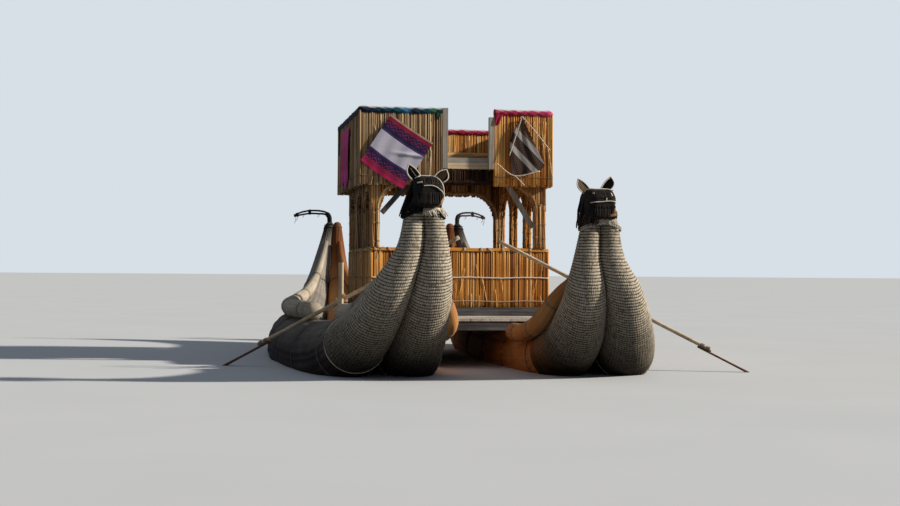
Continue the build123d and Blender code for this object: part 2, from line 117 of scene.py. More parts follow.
# eyes: place, width and height. chin: left, right, foot and head of the tan patch.
# ears: side, places of the inner edge, outer edge and tip, tone of the lining if it has one.
faces = {
    "stbd": {
        "brow": [(-0.125, 0.268), (-0.076, 0.29), (-0.032, 0.292), (0.012, 0.29), (0.06, 0.272),
                 (0.088, 0.24), (0.108, 0.204), (0.122, 0.164), (0.13, 0.12), (0.132, 0.07)],
        "mouth": [(-0.072, 0.19), (-0.032, 0.193), (0.008, 0.192), (0.048, 0.18), (0.08, 0.156),
                  (0.12, 0.12)],
        "eyes": [(-0.1, 0.222, 0.042, 0.018)],
        "ears": [(-1, [(0.07, 0.286), (0.145, 0.25), (0.188, 0.4)], None),
                 (1, [(0.052, 0.284), (0.132, 0.232), (0.17, 0.355)], 0.1)],
        "teeth": [],
        "chin": (0.05, 0.128, 0.004, 0.066),
    },
    "port": {
        "brow": [(-0.148, 0.276), (-0.096, 0.29), (-0.044, 0.292), (0.017, 0.291), (0.065, 0.287),
                 (0.1, 0.274), (0.115, 0.225), (0.13, 0.16)],
        "mouth": [(-0.118, 0.156), (-0.078, 0.16), (-0.035, 0.163), (0.017, 0.168), (0.06, 0.17),
                  (0.095, 0.166), (0.13, 0.154)],
        "eyes": [(0.078, 0.233, 0.016, 0.036), (-0.09, 0.243, 0.02, 0.012)],
        "ears": [(-1, [(0.09, 0.286), (0.155, 0.25), (0.212, 0.386)], 1.25),
                 (1, [(0.005, 0.286), (0.098, 0.28), (0.11, 0.412)], None)],
        "teeth": [(0.015, 0.184)],
        "chin": (0.035, 0.122, 0.022, 0.088),
    },
}


# Directions that no tube or rope here starts along
tube_askew, rope_askew = (0.31, 0.42, 0.85), (0.2, 0.3, 0.93)


# Paths
def circle(count):
    """Angles at even steps round a circle."""
    return np.linspace(0, 2 * math.pi, count, endpoint=False)


def unit(rows):
    return rows / np.linalg.norm(rows, axis=-1, keepdims=True)


def headings(path):
    return unit(np.gradient(path, axis=0))


def distances(path):
    """Distance along a path to each of its points."""
    return np.concatenate([[0], np.cumsum(np.linalg.norm(np.diff(path, axis=0), axis=1))])


def ellipse(centre, first, second, count):
    """Points round an ellipse, from its centre and two half axes."""
    turns = circle(count)
    return centre + np.outer(np.cos(turns), first) + np.outer(np.sin(turns), second)


def between(table, place):
    """The table's row at a place that may lie between rows, on a smooth curve through them."""
    last = len(table) - 1
    low = min(int(place), last - 1)
    t = place - low
    ahead = table[low - 1] if low > 0 else 2 * table[0] - table[1]
    behind = table[low + 2] if low + 2 <= last else 2 * table[last] - table[last - 1]
    start, end = table[low], table[low + 1]
    return 0.5 * (2 * start + (end - ahead) * t + (2 * ahead - 5 * start + 4 * end - behind) * t**2
                  + (3 * start - ahead - 3 * end + behind) * t**3)


def smooth_path(points, count):
    """Points on a smooth curve through the given ones."""
    points = np.asarray(points, float)
    return np.array([between(points, place) for place in np.linspace(0, len(points) - 1, count)])


def round_ends(path, radii, depth=0.8):
    """The path and radii with both ends closed by a dome that lies inside the path's length."""
    path, radii = np.array(path, float), np.array(radii, float)
    swing = np.radians([0, 20, 40, 58, 74, 86])
    for _ in range(2):
        ahead = unit(path[-1] - path[-2])
        size = radii[-1]
        keep = np.linalg.norm(path - path[-1], axis=1) > size * depth
        foot = path[-1] - ahead * size * depth
        dome = foot + np.outer(np.sin(swing) * size * depth, ahead)
        path = np.concatenate([path[keep], dome])[::-1]
        radii = np.concatenate([radii[keep], size * np.cos(swing)])[::-1]
    return path, radii


# Meshes
class Batch:
    """Grids and tubes gathered into one mesh, with a tone for each part and a UV map in metres."""

    def __init__(self):
        self.points, self.corners, self.sizes, self.uvs, self.tones = [], [], [], [], []
        self.count = 0

    def grid(self, points, wrap, u, v, tone=0.5, caps=False):
        rows, columns = points.shape[:2]
        v = np.asarray(v, float)
        u = np.broadcast_to(u, (rows, columns + int(wrap)))
        v = np.broadcast_to(v if v.ndim == 2 else v[:, None], u.shape)
        i, j = np.meshgrid(np.arange(rows - 1), np.arange(columns if wrap else columns - 1), indexing="ij")
        i, j = i.ravel(), j.ravel()
        k = (j + 1) % columns
        quads = np.stack([i * columns + j, i * columns + k, (i + 1) * columns + k, (i + 1) * columns + j], 1)
        places = [(i, j), (i, j + 1), (i + 1, j + 1), (i + 1, j)]
        self.points.append(points.reshape(-1, 3))
        self.tones.append(np.broadcast_to(tone, (rows, columns)).ravel())
        self.corners.append(self.count + quads.ravel())
        self.sizes.append(np.full(len(quads), 4))
        self.uvs.append(np.stack([layer[place] for place in places for layer in (u, v)], 1).reshape(-1, 2))
        if caps:
            for row, order in ((0, -1), (rows - 1, 1)):
                self.corners.append(self.count + row * columns + np.arange(columns)[::order])
                self.sizes.append(np.array([columns]))
                self.uvs.append(np.stack([u[row, :columns], v[row, :columns]], 1)[::order])
        self.count += rows * columns

    def tube(self, path, radius, around=8, closed=False, tone=0.5, ripple=1.0):
        """A tube along a path. ripple: a factor for each point round it, or a row of them for each ring."""
        path = np.asarray(path, float)
        radius = np.broadcast_to(np.asarray(radius, float), len(path))
        along = np.gradient(path, axis=0)
        if closed:
            along = np.roll(path, -1, axis=0) - np.roll(path, 1, axis=0)
        along = unit(along)
        side = np.cross(along[0], tube_askew)
        turns = circle(around)
        ripple = np.broadcast_to(ripple, (len(path), around))
        rings = []
        for point, ahead, size, shape in zip(path, along, radius, ripple):
            side = unit(side - ahead * side.dot(ahead))
            rings.append(point + size * (np.outer(np.cos(turns) * shape, side)
                                         + np.outer(np.sin(turns) * shape, np.cross(ahead, side))))
        if closed:
            rings.append(rings[0])
        rings = np.array(rings)
        u = np.arange(around + 1) * 2 * math.pi * radius.mean() / around
        self.grid(rings, True, u, distances(rings.mean(axis=1)), tone, caps=not closed)

    def shell(self, front, back, tone=0.5):
        """A thin closed leaf between two like grids of points."""
        ring = np.concatenate([front, back[:, ::-1]], axis=1)
        u = distances(ring[0])
        self.grid(ring, True, np.append(u, u[-1]), distances(ring[:, 0]), tone, caps=True)

    def build(self, name, material, body="boat", replaces=(), slot=None):
        mesh = bpy.data.meshes.new(name)
        points, corners, sizes = (np.concatenate(rows) for rows in (self.points, self.corners, self.sizes))
        mesh.vertices.add(len(points))
        mesh.vertices.foreach_set("co", points.astype(np.float32).ravel())
        mesh.loops.add(len(corners))
        mesh.loops.foreach_set("vertex_index", corners.astype(np.int32))
        mesh.polygons.add(len(sizes))
        mesh.polygons.foreach_set("loop_start", (np.cumsum(sizes) - sizes).astype(np.int32))
        mesh.update(calc_edges=True)
        layer = mesh.uv_layers.new(name="metres")
        layer.data.foreach_set("uv", np.concatenate(self.uvs).astype(np.float32).ravel())
        tone = mesh.attributes.new("tone", "FLOAT", "POINT")
        tone.data.foreach_set("value", np.concatenate(self.tones).astype(np.float32))
        mesh.shade_smooth()
        return finish_piece(name, mesh, material, body, replaces)


def finish_piece(name, mesh, material, body, replaces=()):
    piece = bpy.data.objects.new(name, mesh)
    bpy.context.scene.collection.objects.link(piece)
    mesh.materials.clear()
    mesh.materials.append(material)
    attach(piece, body)
    if replaces:
        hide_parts(*replaces)
    return piece


def shaped_copy(node, name, crown, changes):
    """A copy of a CAD node's mesh, cut off level at the crown and then changed by the given modifiers."""
    source = nodes[node].data.copy()
    form = bmesh.new()
    form.from_mesh(source)
    bmesh.ops.remove_doubles(form, verts=form.verts, dist=1e-5)
    everything = list(form.verts) + list(form.edges) + list(form.faces)
    bmesh.ops.bisect_plane(form, geom=everything, plane_co=(0, 0, crown), plane_no=(0, 0, 1),
                           clear_outer=True)
    bmesh.ops.holes_fill(form, edges=[edge for edge in form.edges if edge.is_boundary], sides=0)
    form.to_mesh(source)
    form.free()
    work = bpy.data.objects.new("work", source)
    bpy.context.scene.collection.objects.link(work)
    for kind, settings in changes:
        modifier = work.modifiers.new(kind, kind)
        for key, value in settings.items():
            setattr(modifier, key, value)
    view = bpy.context.evaluated_depsgraph_get()
    view.update()
    mesh = bpy.data.meshes.new_from_object(work.evaluated_get(view))
    bpy.data.objects.remove(work)
    mesh.name = name
    mesh.shade_smooth()
    return mesh


# Materials
black, white = (0, 0, 0), (1, 1, 1)
# What a reed's own tone and its streaks add to its place on the ramp, and what is taken off
tone_share, streak_share, tone_offset = 0.55, 0.6, 0.08
cords_to_metre = 40.0
grain_to_metre = 38.0


class Nodes:
    """A material's nodes, with a short way to add each kind that is used here."""

    def __init__(self, name):
        self.material = bpy.data.materials.new(name)
        self.material.use_nodes = True
        self.tree = self.material.node_tree
        self.shader = self.tree.nodes["Principled BSDF"]

    def add(self, kind, inputs=None, **settings):
        node = self.tree.nodes.new(kind)
        for key, value in settings.items():
            setattr(node, key, value)
        for key, value in (inputs or {}).items():
            if isinstance(value, bpy.types.NodeSocket):
                self.tree.links.new(value, node.inputs[key])
            else:
                node.inputs[key].default_value = value
        return node

    def uv(self):
        return self.add("ShaderNodeUVMap", uv_map="metres").outputs["UV"]

    def where(self):
        return self.add("ShaderNodeTexCoord").outputs["Object"]

    def axis(self, vector, name):
        return self.add("ShaderNodeSeparateXYZ", {"Vector": vector}).outputs[name]

    def stretch(self, vector, scale):
        return self.add("ShaderNodeMapping", {"Vector": vector, "Scale": scale}).outputs["Vector"]

    def math(self, operation, a, b=0.0):
        return self.add("ShaderNodeMath", {0: a, 1: b}, operation=operation).outputs[0]

    def share(self, value, low, high):
        """0 at low and 1 at high."""
        return self.math("DIVIDE", self.math("SUBTRACT", value, low), high - low)

    def fold(self, value):
        """Distance from the middle of each whole step of a value."""
        return self.math("ABSOLUTE", self.math("SUBTRACT", self.math("FRACT", value), 0.5))

    def noise(self, vector, scale, detail=4.0, roughness=0.6):
        inputs = {"Vector": vector, "Scale": scale, "Detail": detail, "Roughness": roughness}
        return self.add("ShaderNodeTexNoise", inputs).outputs["Fac"]

    def ramp(self, factor, stops, constant=False):
        node = self.add("ShaderNodeValToRGB", {"Fac": factor})
        if constant:
            node.color_ramp.interpolation = "CONSTANT"
        elements = node.color_ramp.elements
        while len(elements) < len(stops):
            elements.new(1.0)
        for element, (place, colour) in zip(elements, stops):
            element.position = place
            element.color = (*colour, 1)
        return node.outputs["Color"]

    def mix(self, factor, a, b, blend="MIX"):
        node = self.add("ShaderNodeMix", data_type="RGBA", blend_type=blend)
        for key, value in ((0, factor), (6, a), (7, b)):
            if isinstance(value, bpy.types.NodeSocket):
                self.tree.links.new(value, node.inputs[key])
            else:
                node.inputs[key].default_value = value if key == 0 else (*value, 1)
        return node.outputs[2]

    def tint(self, colour, other, factor=1.0):
        return self.mix(factor, colour, other, "MULTIPLY")

    def finish(self, colour, height, roughness, bump, distance=0.004):
        link = self.tree.links.new
        link(colour, self.shader.inputs["Base Color"])
        self.shader.inputs["Roughness"].default_value = roughness
        self.shader.inputs["Specular IOR Level"].default_value = 0.25
        node = self.add("ShaderNodeBump", {"Strength": bump, "Distance": distance, "Height": height})
        link(node.outputs["Normal"], self.shader.inputs["Normal"])
        return self.material


def reed_material(name, stops, across=90.0, along=2.5, weathered=(0.2, 0.18, 0.15), wear=0.35, ribs=False,
                  wet_and_shade=None, bump=0.6, fade=None, shade=None, tip=None):
    """Reeds that run along V. With ribs, cord crosses them at each rib.
    wet_and_shade: two heights and the colour that the reeds turn between them, towards the water. This
    darkening is partly wet reeds and partly painted shade near the water.
    tip: two heights and the colour that the reeds turn between them, upwards.
    fade: two distances along V and the colours into which the ribs fade between them.
    shade: two places along X and a height. It is dark between and above them."""
    n = Nodes(name)
    uv, where = n.uv(), n.where()
    tone = n.add("ShaderNodeAttribute", attribute_name="tone").outputs["Fac"]
    streak = n.noise(n.stretch(uv, (across, along, 1.0)), 1.0, 6.0)
    place = n.math("ADD", n.math("MULTIPLY", tone, tone_share), n.math("MULTIPLY", streak, streak_share))
    place = n.math("SUBTRACT", place, tone_offset)
    patch = n.ramp(n.noise(where, 2.2, 5.0), [(0.42, black), (0.66, white)])
    colour = n.mix(n.math("MULTIPLY", patch, wear), n.ramp(place, stops), weathered)
    height = streak
    if ribs:
        valley = n.fold(n.math("DIVIDE", n.axis(uv, "Y"), rib_pitch))
        wander = n.math("MULTIPLY", n.noise(where, 9.0, 2.0), 1.6)
        line = n.fold(n.math("ADD", n.math("MULTIPLY", n.axis(uv, "X"), cords_to_metre), wander))
        # Painted shade: the grooves between the ribs are darkened.
        colour = n.tint(colour, n.ramp(valley, [(0.26, white), (0.46, (0.1, 0.085, 0.065))]))
        colour = n.tint(colour, n.ramp(line, [(0.34, white), (0.48, (0.42, 0.38, 0.31))]))
        colour = n.tint(colour, n.ramp(n.noise(where, 34.0, 3.0), [(0.36, (0.5, 0.45, 0.38)), (0.5, white)]))
        height = n.math("SUBTRACT", streak, n.math("MULTIPLY", line, 1.2))
    if fade:
        first, last, bare = fade
        ragged = n.math("ADD", n.axis(uv, "Y"), n.math("MULTIPLY", n.noise(where, 6.0, 3.0), 0.3))
        share = n.math("DIVIDE", n.math("SUBTRACT", ragged, first + 0.15), last - first)
        share = n.add("ShaderNodeClamp", {0: share}).outputs[0]
        colour = n.mix(share, colour, n.ramp(place, bare))
    # Darker towards the water: partly wet reeds, partly painted shade where the hull meets the water.
    if wet_and_shade:
        low, high, dark_tint = wet_and_shade
        level = n.math("ADD", n.axis(where, "Z"), n.math("MULTIPLY", n.noise(where, 3.5, 4.0), 0.3))
        colour = n.tint(colour, n.ramp(n.share(level, low, high), [(0.0, dark_tint), (1.0, white)]))
    if tip:
        low, high, dark_tint = tip
        colour = n.tint(colour, n.ramp(n.share(n.axis(where, "Z"), low, high), [(0.0, white), (1.0, dark_tint)]))
    if shade:
        first, last, level = shade
        inside = n.math("MULTIPLY", n.math("GREATER_THAN", n.axis(where, "X"), first),
                        n.math("LESS_THAN", n.axis(where, "X"), last))
        inside = n.math("MULTIPLY", inside, n.math("GREATER_THAN", n.axis(where, "Z"), level))
        colour = n.mix(inside, colour, n.tint(colour, (0.07, 0.05, 0.045)))
    return n.finish(colour, height, 0.82, bump)


def grain(n, where, axis, along):
    """Streaks of grain along one axis, for pieces and CAD nodes with no UV map."""
    scale = [grain_to_metre] * 3
    scale[axis] = along
    return n.noise(n.stretch(where, tuple(scale)), 1.0, 8.0, 0.7)


def wood_material(name, stops, axis):
    n = Nodes(name)
    where = n.where()
    streaks = grain(n, where, axis, 1.6)
    dark_tint = n.ramp(n.noise(where, 3.0, 4.0), [(0.4, white), (0.72, (0.62, 0.6, 0.56))])
    return n.finish(n.tint(n.ramp(streaks, stops), dark_tint), streaks, 0.75, 0.5)


def brace_material(starboard, port):
    """Wood whose colours differ between the two sides."""
    n = Nodes("plank_brace")
    where = n.where()
    streaks = grain(n, where, 2, 2.0)
    side = n.math("GREATER_THAN", n.axis(where, "X"), 0.0)
    return n.finish(n.mix(side, n.ramp(streaks, starboard), n.ramp(streaks, port)), streaks, 0.75, 0.5)


def woven(n, uv, colour, threads, valley, depth, sheen, bump, distance):
    """Finishes a cloth: threads to a metre, with the colour and share of the gaps between them."""
    weave = n.noise(n.stretch(uv, (threads, threads, 1.0)), 1.0, 2.0)
    colour = n.tint(colour, n.ramp(weave, [(0.3, valley), (0.7, white)]), depth)
    n.shader.inputs["Sheen Weight"].default_value = sheen
    return n.finish(colour, weave, 0.95, bump, distance)


def band_cloth(name, bands, accent, zigzag_bands, zigzag):
    """Woven stripes across V, with a zigzag in the accent colour on some of them."""
    n = Nodes(name)
    uv = n.uv()
    across, along = n.axis(uv, "X"), n.axis(uv, "Y")
    colour = n.ramp(along, bands, constant=True)
    mask = n.ramp(along, zigzag_bands, constant=True)
    swing = n.math("PINGPONG", n.math("MULTIPLY", across, zigzag), 1.0)
    level = n.math("FRACT", n.math("ADD", n.math("MULTIPLY", along, zigzag), swing))
    colour = n.mix(n.math("MULTIPLY", n.math("GREATER_THAN", level, 0.76), mask), colour, accent)
    return woven(n, uv, colour, 260.0, (0.35, 0.33, 0.35), 0.25, 0.2, 0.4, 0.002)


def stops(places, *colours):
    return list(zip(places, colours))


# Colours from the dark gaps between reeds or in the grain to the pale crests
dry, damp, wood = (0.12, 0.35, 0.6, 0.85), (0.1, 0.4, 0.7, 0.9), (0.25, 0.5, 0.75)
golden = stops(dry, (0.1, 0.035, 0.012), (0.42, 0.18, 0.05), (0.62, 0.36, 0.13), (0.82, 0.64, 0.37))
amber = stops(dry, (0.13, 0.035, 0.01), (0.5, 0.18, 0.03), (0.74, 0.35, 0.07), (0.88, 0.62, 0.28))
tawny = stops(dry, (0.07, 0.035, 0.018), (0.3, 0.17, 0.075), (0.52, 0.37, 0.2), (0.76, 0.62, 0.42))
straw = stops(damp, (0.2, 0.16, 0.11), (0.52, 0.45, 0.35), (0.74, 0.67, 0.55), (0.84, 0.79, 0.69))
clay = stops(damp, (0.16, 0.06, 0.02), (0.5, 0.22, 0.07), (0.72, 0.37, 0.13), (0.84, 0.58, 0.3))
grey = stops(damp, (0.08, 0.07, 0.06), (0.25, 0.22, 0.19), (0.42, 0.38, 0.33), (0.58, 0.53, 0.46))
soot = stops((0.2, 0.6, 0.95), (0.003, 0.0028, 0.0028), (0.012, 0.009, 0.008), (0.1, 0.045, 0.03))
tan = stops((0.2, 0.6, 0.9), (0.2, 0.09, 0.04), (0.5, 0.28, 0.14), (0.75, 0.52, 0.34))
plank = stops(wood, (0.16, 0.14, 0.12), (0.42, 0.39, 0.34), (0.66, 0.62, 0.55))
pole = stops(wood, (0.44, 0.3, 0.17), (0.74, 0.59, 0.4), (0.84, 0.76, 0.6))
redwood = stops(wood, (0.08, 0.03, 0.018), (0.2, 0.085, 0.05), (0.34, 0.17, 0.1))
bleached = stops(wood, (0.3, 0.27, 0.23), (0.62, 0.58, 0.52), (0.82, 0.78, 0.71))
# Very dark wood as painted shade, for wood that stands in shadow.
shaded = stops(wood, (0.02, 0.02, 0.024), (0.09, 0.085, 0.09), (0.2, 0.19, 0.19))

# The dark olive that the bound reeds turn near the water, partly from wetness and partly painted shade.
olive_wet_and_shade = (0.06, 0.045, 0.03)
gap_shade = (-0.2, 0.5, 2.03)
golden_wear = {"wear": 0.25, "weathered": (0.26, 0.13, 0.05)}
inner_wear_and_shade = {"ribs": True, "across": 80.0, "weathered": (0.34, 0.26, 0.17), "wet_and_shade": (0.18, 0.85, olive_wet_and_shade)}
coarse = {"across": 60.0, "bump": 1.0}
twist = {"across": 320.0, "along": 90.0}
reed_golden = reed_material("reed_golden", golden, **golden_wear)
reed_shaded = reed_material("reed_shaded", golden, shade=gap_shade, **golden_wear)
reed_amber = reed_material("reed_amber", amber, wear=0.2, weathered=(0.3, 0.1, 0.025))
reed_tawny = reed_material("reed_tawny", tawny, weathered=(0.2, 0.11, 0.05))
reed_orange = reed_material("reed_orange", clay, wear=0.45, weathered=(0.3, 0.12, 0.045),
                            wet_and_shade=(-0.05, 0.3, (0.6, 0.4, 0.25)), tip=(0.5, 1.4, (0.34, 0.24, 0.19)), **coarse)
reed_grey = reed_material("reed_grey", grey, across=75.0, wear=0.6, bump=1.0, weathered=(0.1, 0.085, 0.075),
                          wet_and_shade=(0.3, 0.95, (0.13, 0.12, 0.13)), tip=(1.35, 1.72, (0.12, 0.11, 0.11)))
reed_roll = reed_material("reed_roll", straw, wear=0.6, weathered=(0.17, 0.13, 0.1),
                          wet_and_shade=(0.15, 0.55, (0.5, 0.44, 0.38)), tip=(1.2, 1.7, (0.2, 0.18, 0.17)), **coarse)
reed_bound_outer = reed_material("reed_bound_outer", straw, across=80.0, ribs=True, wear=0.4,
                                 weathered=(0.3, 0.26, 0.2), wet_and_shade=(0.15, 0.95, olive_wet_and_shade))
reed_bound_inner = reed_material("reed_bound_inner", straw, **inner_wear_and_shade)
reed_bound_faded = reed_material("reed_bound_faded", straw, fade=(*rib_fade, clay), **inner_wear_and_shade)
reed_dark = reed_material("reed_dark", soot, across=110.0, along=20.0, wear=0.1, bump=0.9)
reed_tan = reed_material("reed_tan", tan, across=160.0, wear=0.1)
rope_pale = reed_material("rope_pale", straw, wear=0.15, **twist)
rope_dark = reed_material("rope_dark", grey, **twist)
rope_tan = reed_material("rope_tan", tawny, **twist)
rope_shaded = reed_material("rope_shaded", tawny, shade=gap_shade, **twist)
plank_white = wood_material("plank_white", bleached, 1)
plank_shaded = wood_material("plank_shaded", shaded, 0)
plank_across = wood_material("plank_across", plank, 0)
plank_up = wood_material("plank_up", plank, 2)
# The starboard braces are painted in shade; the port braces keep the plank colours.
plank_brace = brace_material(shaded, plank)
pole_up = wood_material("pole_up", pole, 2)
pole_across = wood_material("pole_across", pole, 0)
blade_across = wood_material("blade_across", redwood, 0)


# Hulls

def station(place, side_name):
    """Centre, across, up and radius of a hull at a station number."""
    aft, height, pitch, off_centre, radius, share = between(hull_stations, place)
    run = math.radians(pitch)
    centre = np.array((sides[side_name] * off_centre, prow_y + aft, height - share * neck_drop[side_name]))
    return centre, np.array((1.0, 0, 0)), np.array((0, -math.sin(run), math.cos(run))), radius


def bundle_ring(place, side_name, way, angles, lift=0.0):
    """Points round a bundle, kept on their own side of the seam."""
    centre, across, up, radius = station(place, side_name)
    facing = sides[side_name] * way
    sideways = np.maximum(squeeze * radius + (radius + lift) * np.cos(angles), 0.001)
    upward = (radius + lift) * np.sin(angles)
    return centre + np.outer(facing * sideways, across) + np.outer(upward, up)


fine_places = np.linspace(0, len(hull_stations) - 1, 1401)


def even_places(side_name, first, last, step):
    """Station numbers an even distance apart along a hull, and their distances from the neck."""
    run = distances([station(place, side_name)[0] for place in fine_places])
    low, high = np.interp([first, last], fine_places, run)
    marks = np.linspace(low, high, max(2, round((high - low) / step) + 1))
    return np.interp(marks, run, fine_places), marks


def place_at(aft):
    return float(np.interp(aft, [between(hull_stations, place)[0] for place in fine_places], fine_places))


def radius_at(place, side_name):
    return station(place, side_name)[3]


def lash_marks(side_name, way):
    """Station numbers and distances of the cords round a bare bundle."""
    edge = place_at(bound_end[side_name, way])
    return even_places(side_name, edge + 0.35, len(hull_stations) - 1.25, lash_spacing)

def dents(angles, mark, phases):
    """Slow unevenness round a bundle, between about -1 and 1."""
    waves = ((2, 2.3), (3, -3.1), (5, 4.7), (8, -6.1))
    return sum(np.sin(count * angles + rate * mark + phase) / (count + 0.5)
               for (count, rate), phase in zip(waves, phases))


def skin(rings, run, tone, radii):
    """One closed skin through rings of points, at distances that give its V."""
    batch = Batch()
    around = len(rings[0])
    u = np.arange(around + 1) * 2 * math.pi * np.mean(radii) / around
    batch.grid(np.array(rings), True, u, run, tone, caps=True)
    return batch


def bound_part(name, side_name, way, phases):
    """The bundle's ribbed part under its binding, with a rounded shoulder at the neck."""
    places, marks = even_places(side_name, 0, place_at(bound_end[side_name, way]), rib_pitch / 4)
    angles = circle(bound_around) + math.pi
    rib_sizes = rng.uniform(0.7, 1.25, int(marks[-1] / rib_pitch) + 2)
    rib_tones = rng.normal(0.55, 0.09, len(rib_sizes))
    below = marks > neck_shoulder
    places, marks = places[below], marks[below]
    rings, tones, run = [], [], []
    for swing in np.radians((84, 72, 58, 42, 26, 12)):
        lift = -(1 - math.cos(swing)) * radius_at(places[0], side_name)
        rise = neck_shoulder * math.sin(swing)
        rings.append(bundle_ring(places[0], side_name, way, angles, lift) + (0, 0, rise))
        tones.append(0.5)
        run.append(marks[0] - rise)
    fades = (side_name, way) == fading_bundle
    for place, mark in zip(places, marks):
        rib = int(mark / rib_pitch)
        crest = abs(math.sin(math.pi * mark / rib_pitch)) - 0.6
        if fades:
            crest *= np.interp(mark, rib_fade, (1, 0))
        unevenness = 0.03 * radius_at(place, side_name) * dents(angles, mark, phases)
        lift = unevenness + rib_height * rib_sizes[rib] * crest
        rings.append(bundle_ring(place, side_name, way, angles, lift))
        tones.append(rib_tones[rib])
        run.append(mark)
    material = reed_bound_outer if way > 0 else reed_bound_faded if fades else reed_bound_inner
    batch = skin(rings, run, np.array(tones)[:, None], [radius_at(place, side_name) for place in places])
    batch.build(f"{name}_bound", material, replaces=[f"hull_{name}"], slot="hull_reed")


def bare_part(name, side_name, way, phases):
    """The bundle's bare part, fluted and pinched where cords go round it, with a domed tip at the stern."""
    lashes = lash_marks(side_name, way)[1]
    seams = rng.uniform(0, 2 * math.pi, 5)
    last = len(hull_stations) - 1
    places, marks = even_places(side_name, place_at(bound_end[side_name, way]), last, bare_step)
    angles = circle(bare_around) + math.pi
    flutes = np.abs(np.sin(11 * angles + 0.8 * np.sin(3 * angles)))
    radii = [radius_at(place, side_name) for place in places]
    rings = []
    for place, mark, radius in zip(places, marks, radii):
        pinch = sum(math.exp(-(((mark - lash) / 0.07) ** 2)) for lash in lashes)
        off_seams = [np.angle(np.exp(1j * (angles - seam - 0.05 * mark))) for seam in seams]
        notches = sum(np.exp(-((off / 0.05) ** 2)) for off in off_seams)
        share = 0.035 * dents(angles, mark, phases) - 0.05 * notches - lash_pinch * pinch
        rings.append(bundle_ring(place, side_name, way, angles, radius * share + 0.009 * (flutes - 0.8)))
    tip = 0.85 * radii[-1]
    keep = marks < marks[-1] - 0.9 * radii[-1]
    rings, run = [ring for ring, kept in zip(rings, keep) if kept], list(marks[keep])
    up = station(places[-1], side_name)[2]
    ahead = np.array((0, up[2], -up[1]))
    for swing in np.radians((0, 20, 40, 58, 72, 84)):
        ring = bundle_ring(places[-1], side_name, way, angles, -(1 - math.cos(swing)) * radii[-1])
        rings.append(ring - ahead * tip * (1 - math.sin(swing)))
        run.append(marks[-1] - tip * (1 - math.sin(swing)))
    batch = skin(rings, run, 0.5, radii)
    batch.build(f"{name}_bare", reed_grey if way > 0 else reed_orange, slot="hull_reed")


def bundle_piece(side_name, way):
    name = f"{'outer' if way > 0 else 'inner'}_bundle_{side_name}"
    phases = rng.uniform(0, 2 * math.pi, 4)
    bound_part(name, side_name, way, phases)
    bare_part(name, side_name, way, phases)


def roll_piece(side_name, label):
    """A fluted roll of reeds, with a double cord round it at even steps."""
    way, table = rolls[label]
    facing = sides[side_name] * way
    table = np.array(table, float)
    path, radii = [], []
    for place in np.linspace(0, len(table) - 1, 14 * len(table)):
        number, turn, radius = between(table, place)
        centre, across, up, hull_radius = station(number, side_name)
        lean = math.radians(turn)
        reach = hull_radius + squeeze * radius
        sideways = facing * (squeeze * hull_radius + reach * math.sin(lean))
        path.append(centre + sideways * across + reach * math.cos(lean) * up)
        radii.append(radius)
    path, radii = round_ends(path, radii)
    turns = circle(roll_around)
    ripple = 1 - 0.05 * (1 - np.abs(np.sin(6 * turns + 0.7 * np.sin(2 * turns))))
    shaped = radii * (1 + 0.012 * np.sin(np.arange(len(path)) * 0.7))
    batch = Batch()
    cords = Batch()
    bands = range(tie_first, len(path) - tie_first, tie_step)
    for k in bands:
        shaped[k - 1:k + 2] *= 0.95
    batch.tube(path, shaped, roll_around, tone=0.6 if way < 0 else 0.3, ripple=ripple)
    for k in bands:
        ahead = unit(path[k + 1] - path[k - 1])
        side = unit(np.cross(ahead, (0, 0, 1.0)))
        over = np.cross(side, ahead)
        reach = radii[k] * 0.965
        for shift in (-0.008, 0.006):
            ring = ellipse(path[k] + ahead * shift, reach * side, reach * over, roll_around // 2)
            cords.tube(ring, roll_cord, 5, closed=True, tone=0.35)
    node = f"gunwale_{label}_{side_name}" if way > 0 else f"gunwale_inner_{side_name}"
    material = reed_roll if way > 0 else reed_orange
    batch.build(f"roll_{label}_{side_name}", material, replaces=[node], slot="hull_reed")
    cords.build(f"roll_cords_{label}_{side_name}", rope_dark, slot="rope")


def lashings(side_name):
    """Cords round the bare bundles, and one where each binding ends that doesn't fade out."""
    batch, edge = Batch(), Batch()
    angles = circle(48) + math.pi
    for way in (1, -1):
        if (side_name, way) != fading_bundle:
            ring = bundle_ring(place_at(bound_end[side_name, way]), side_name, way, angles, 0.002)
            edge.tube(ring, edge_cord, 6, closed=True, tone=0.9 if side_name == "stbd" and way > 0 else 0.1)
        for place in lash_marks(side_name, way)[0]:
            lift = 0.003 - lash_pinch * radius_at(place, side_name)
            for shift in (0, 0.02):
                ring = bundle_ring(place + shift, side_name, way, angles, lift)
                batch.tube(ring, lash_cord, 5, closed=True, tone=0.0)
    batch.build(f"lashings_{side_name}", rope_dark, slot="rope")
    edge.build(f"binding_edge_{side_name}", rope_pale, slot="rope")


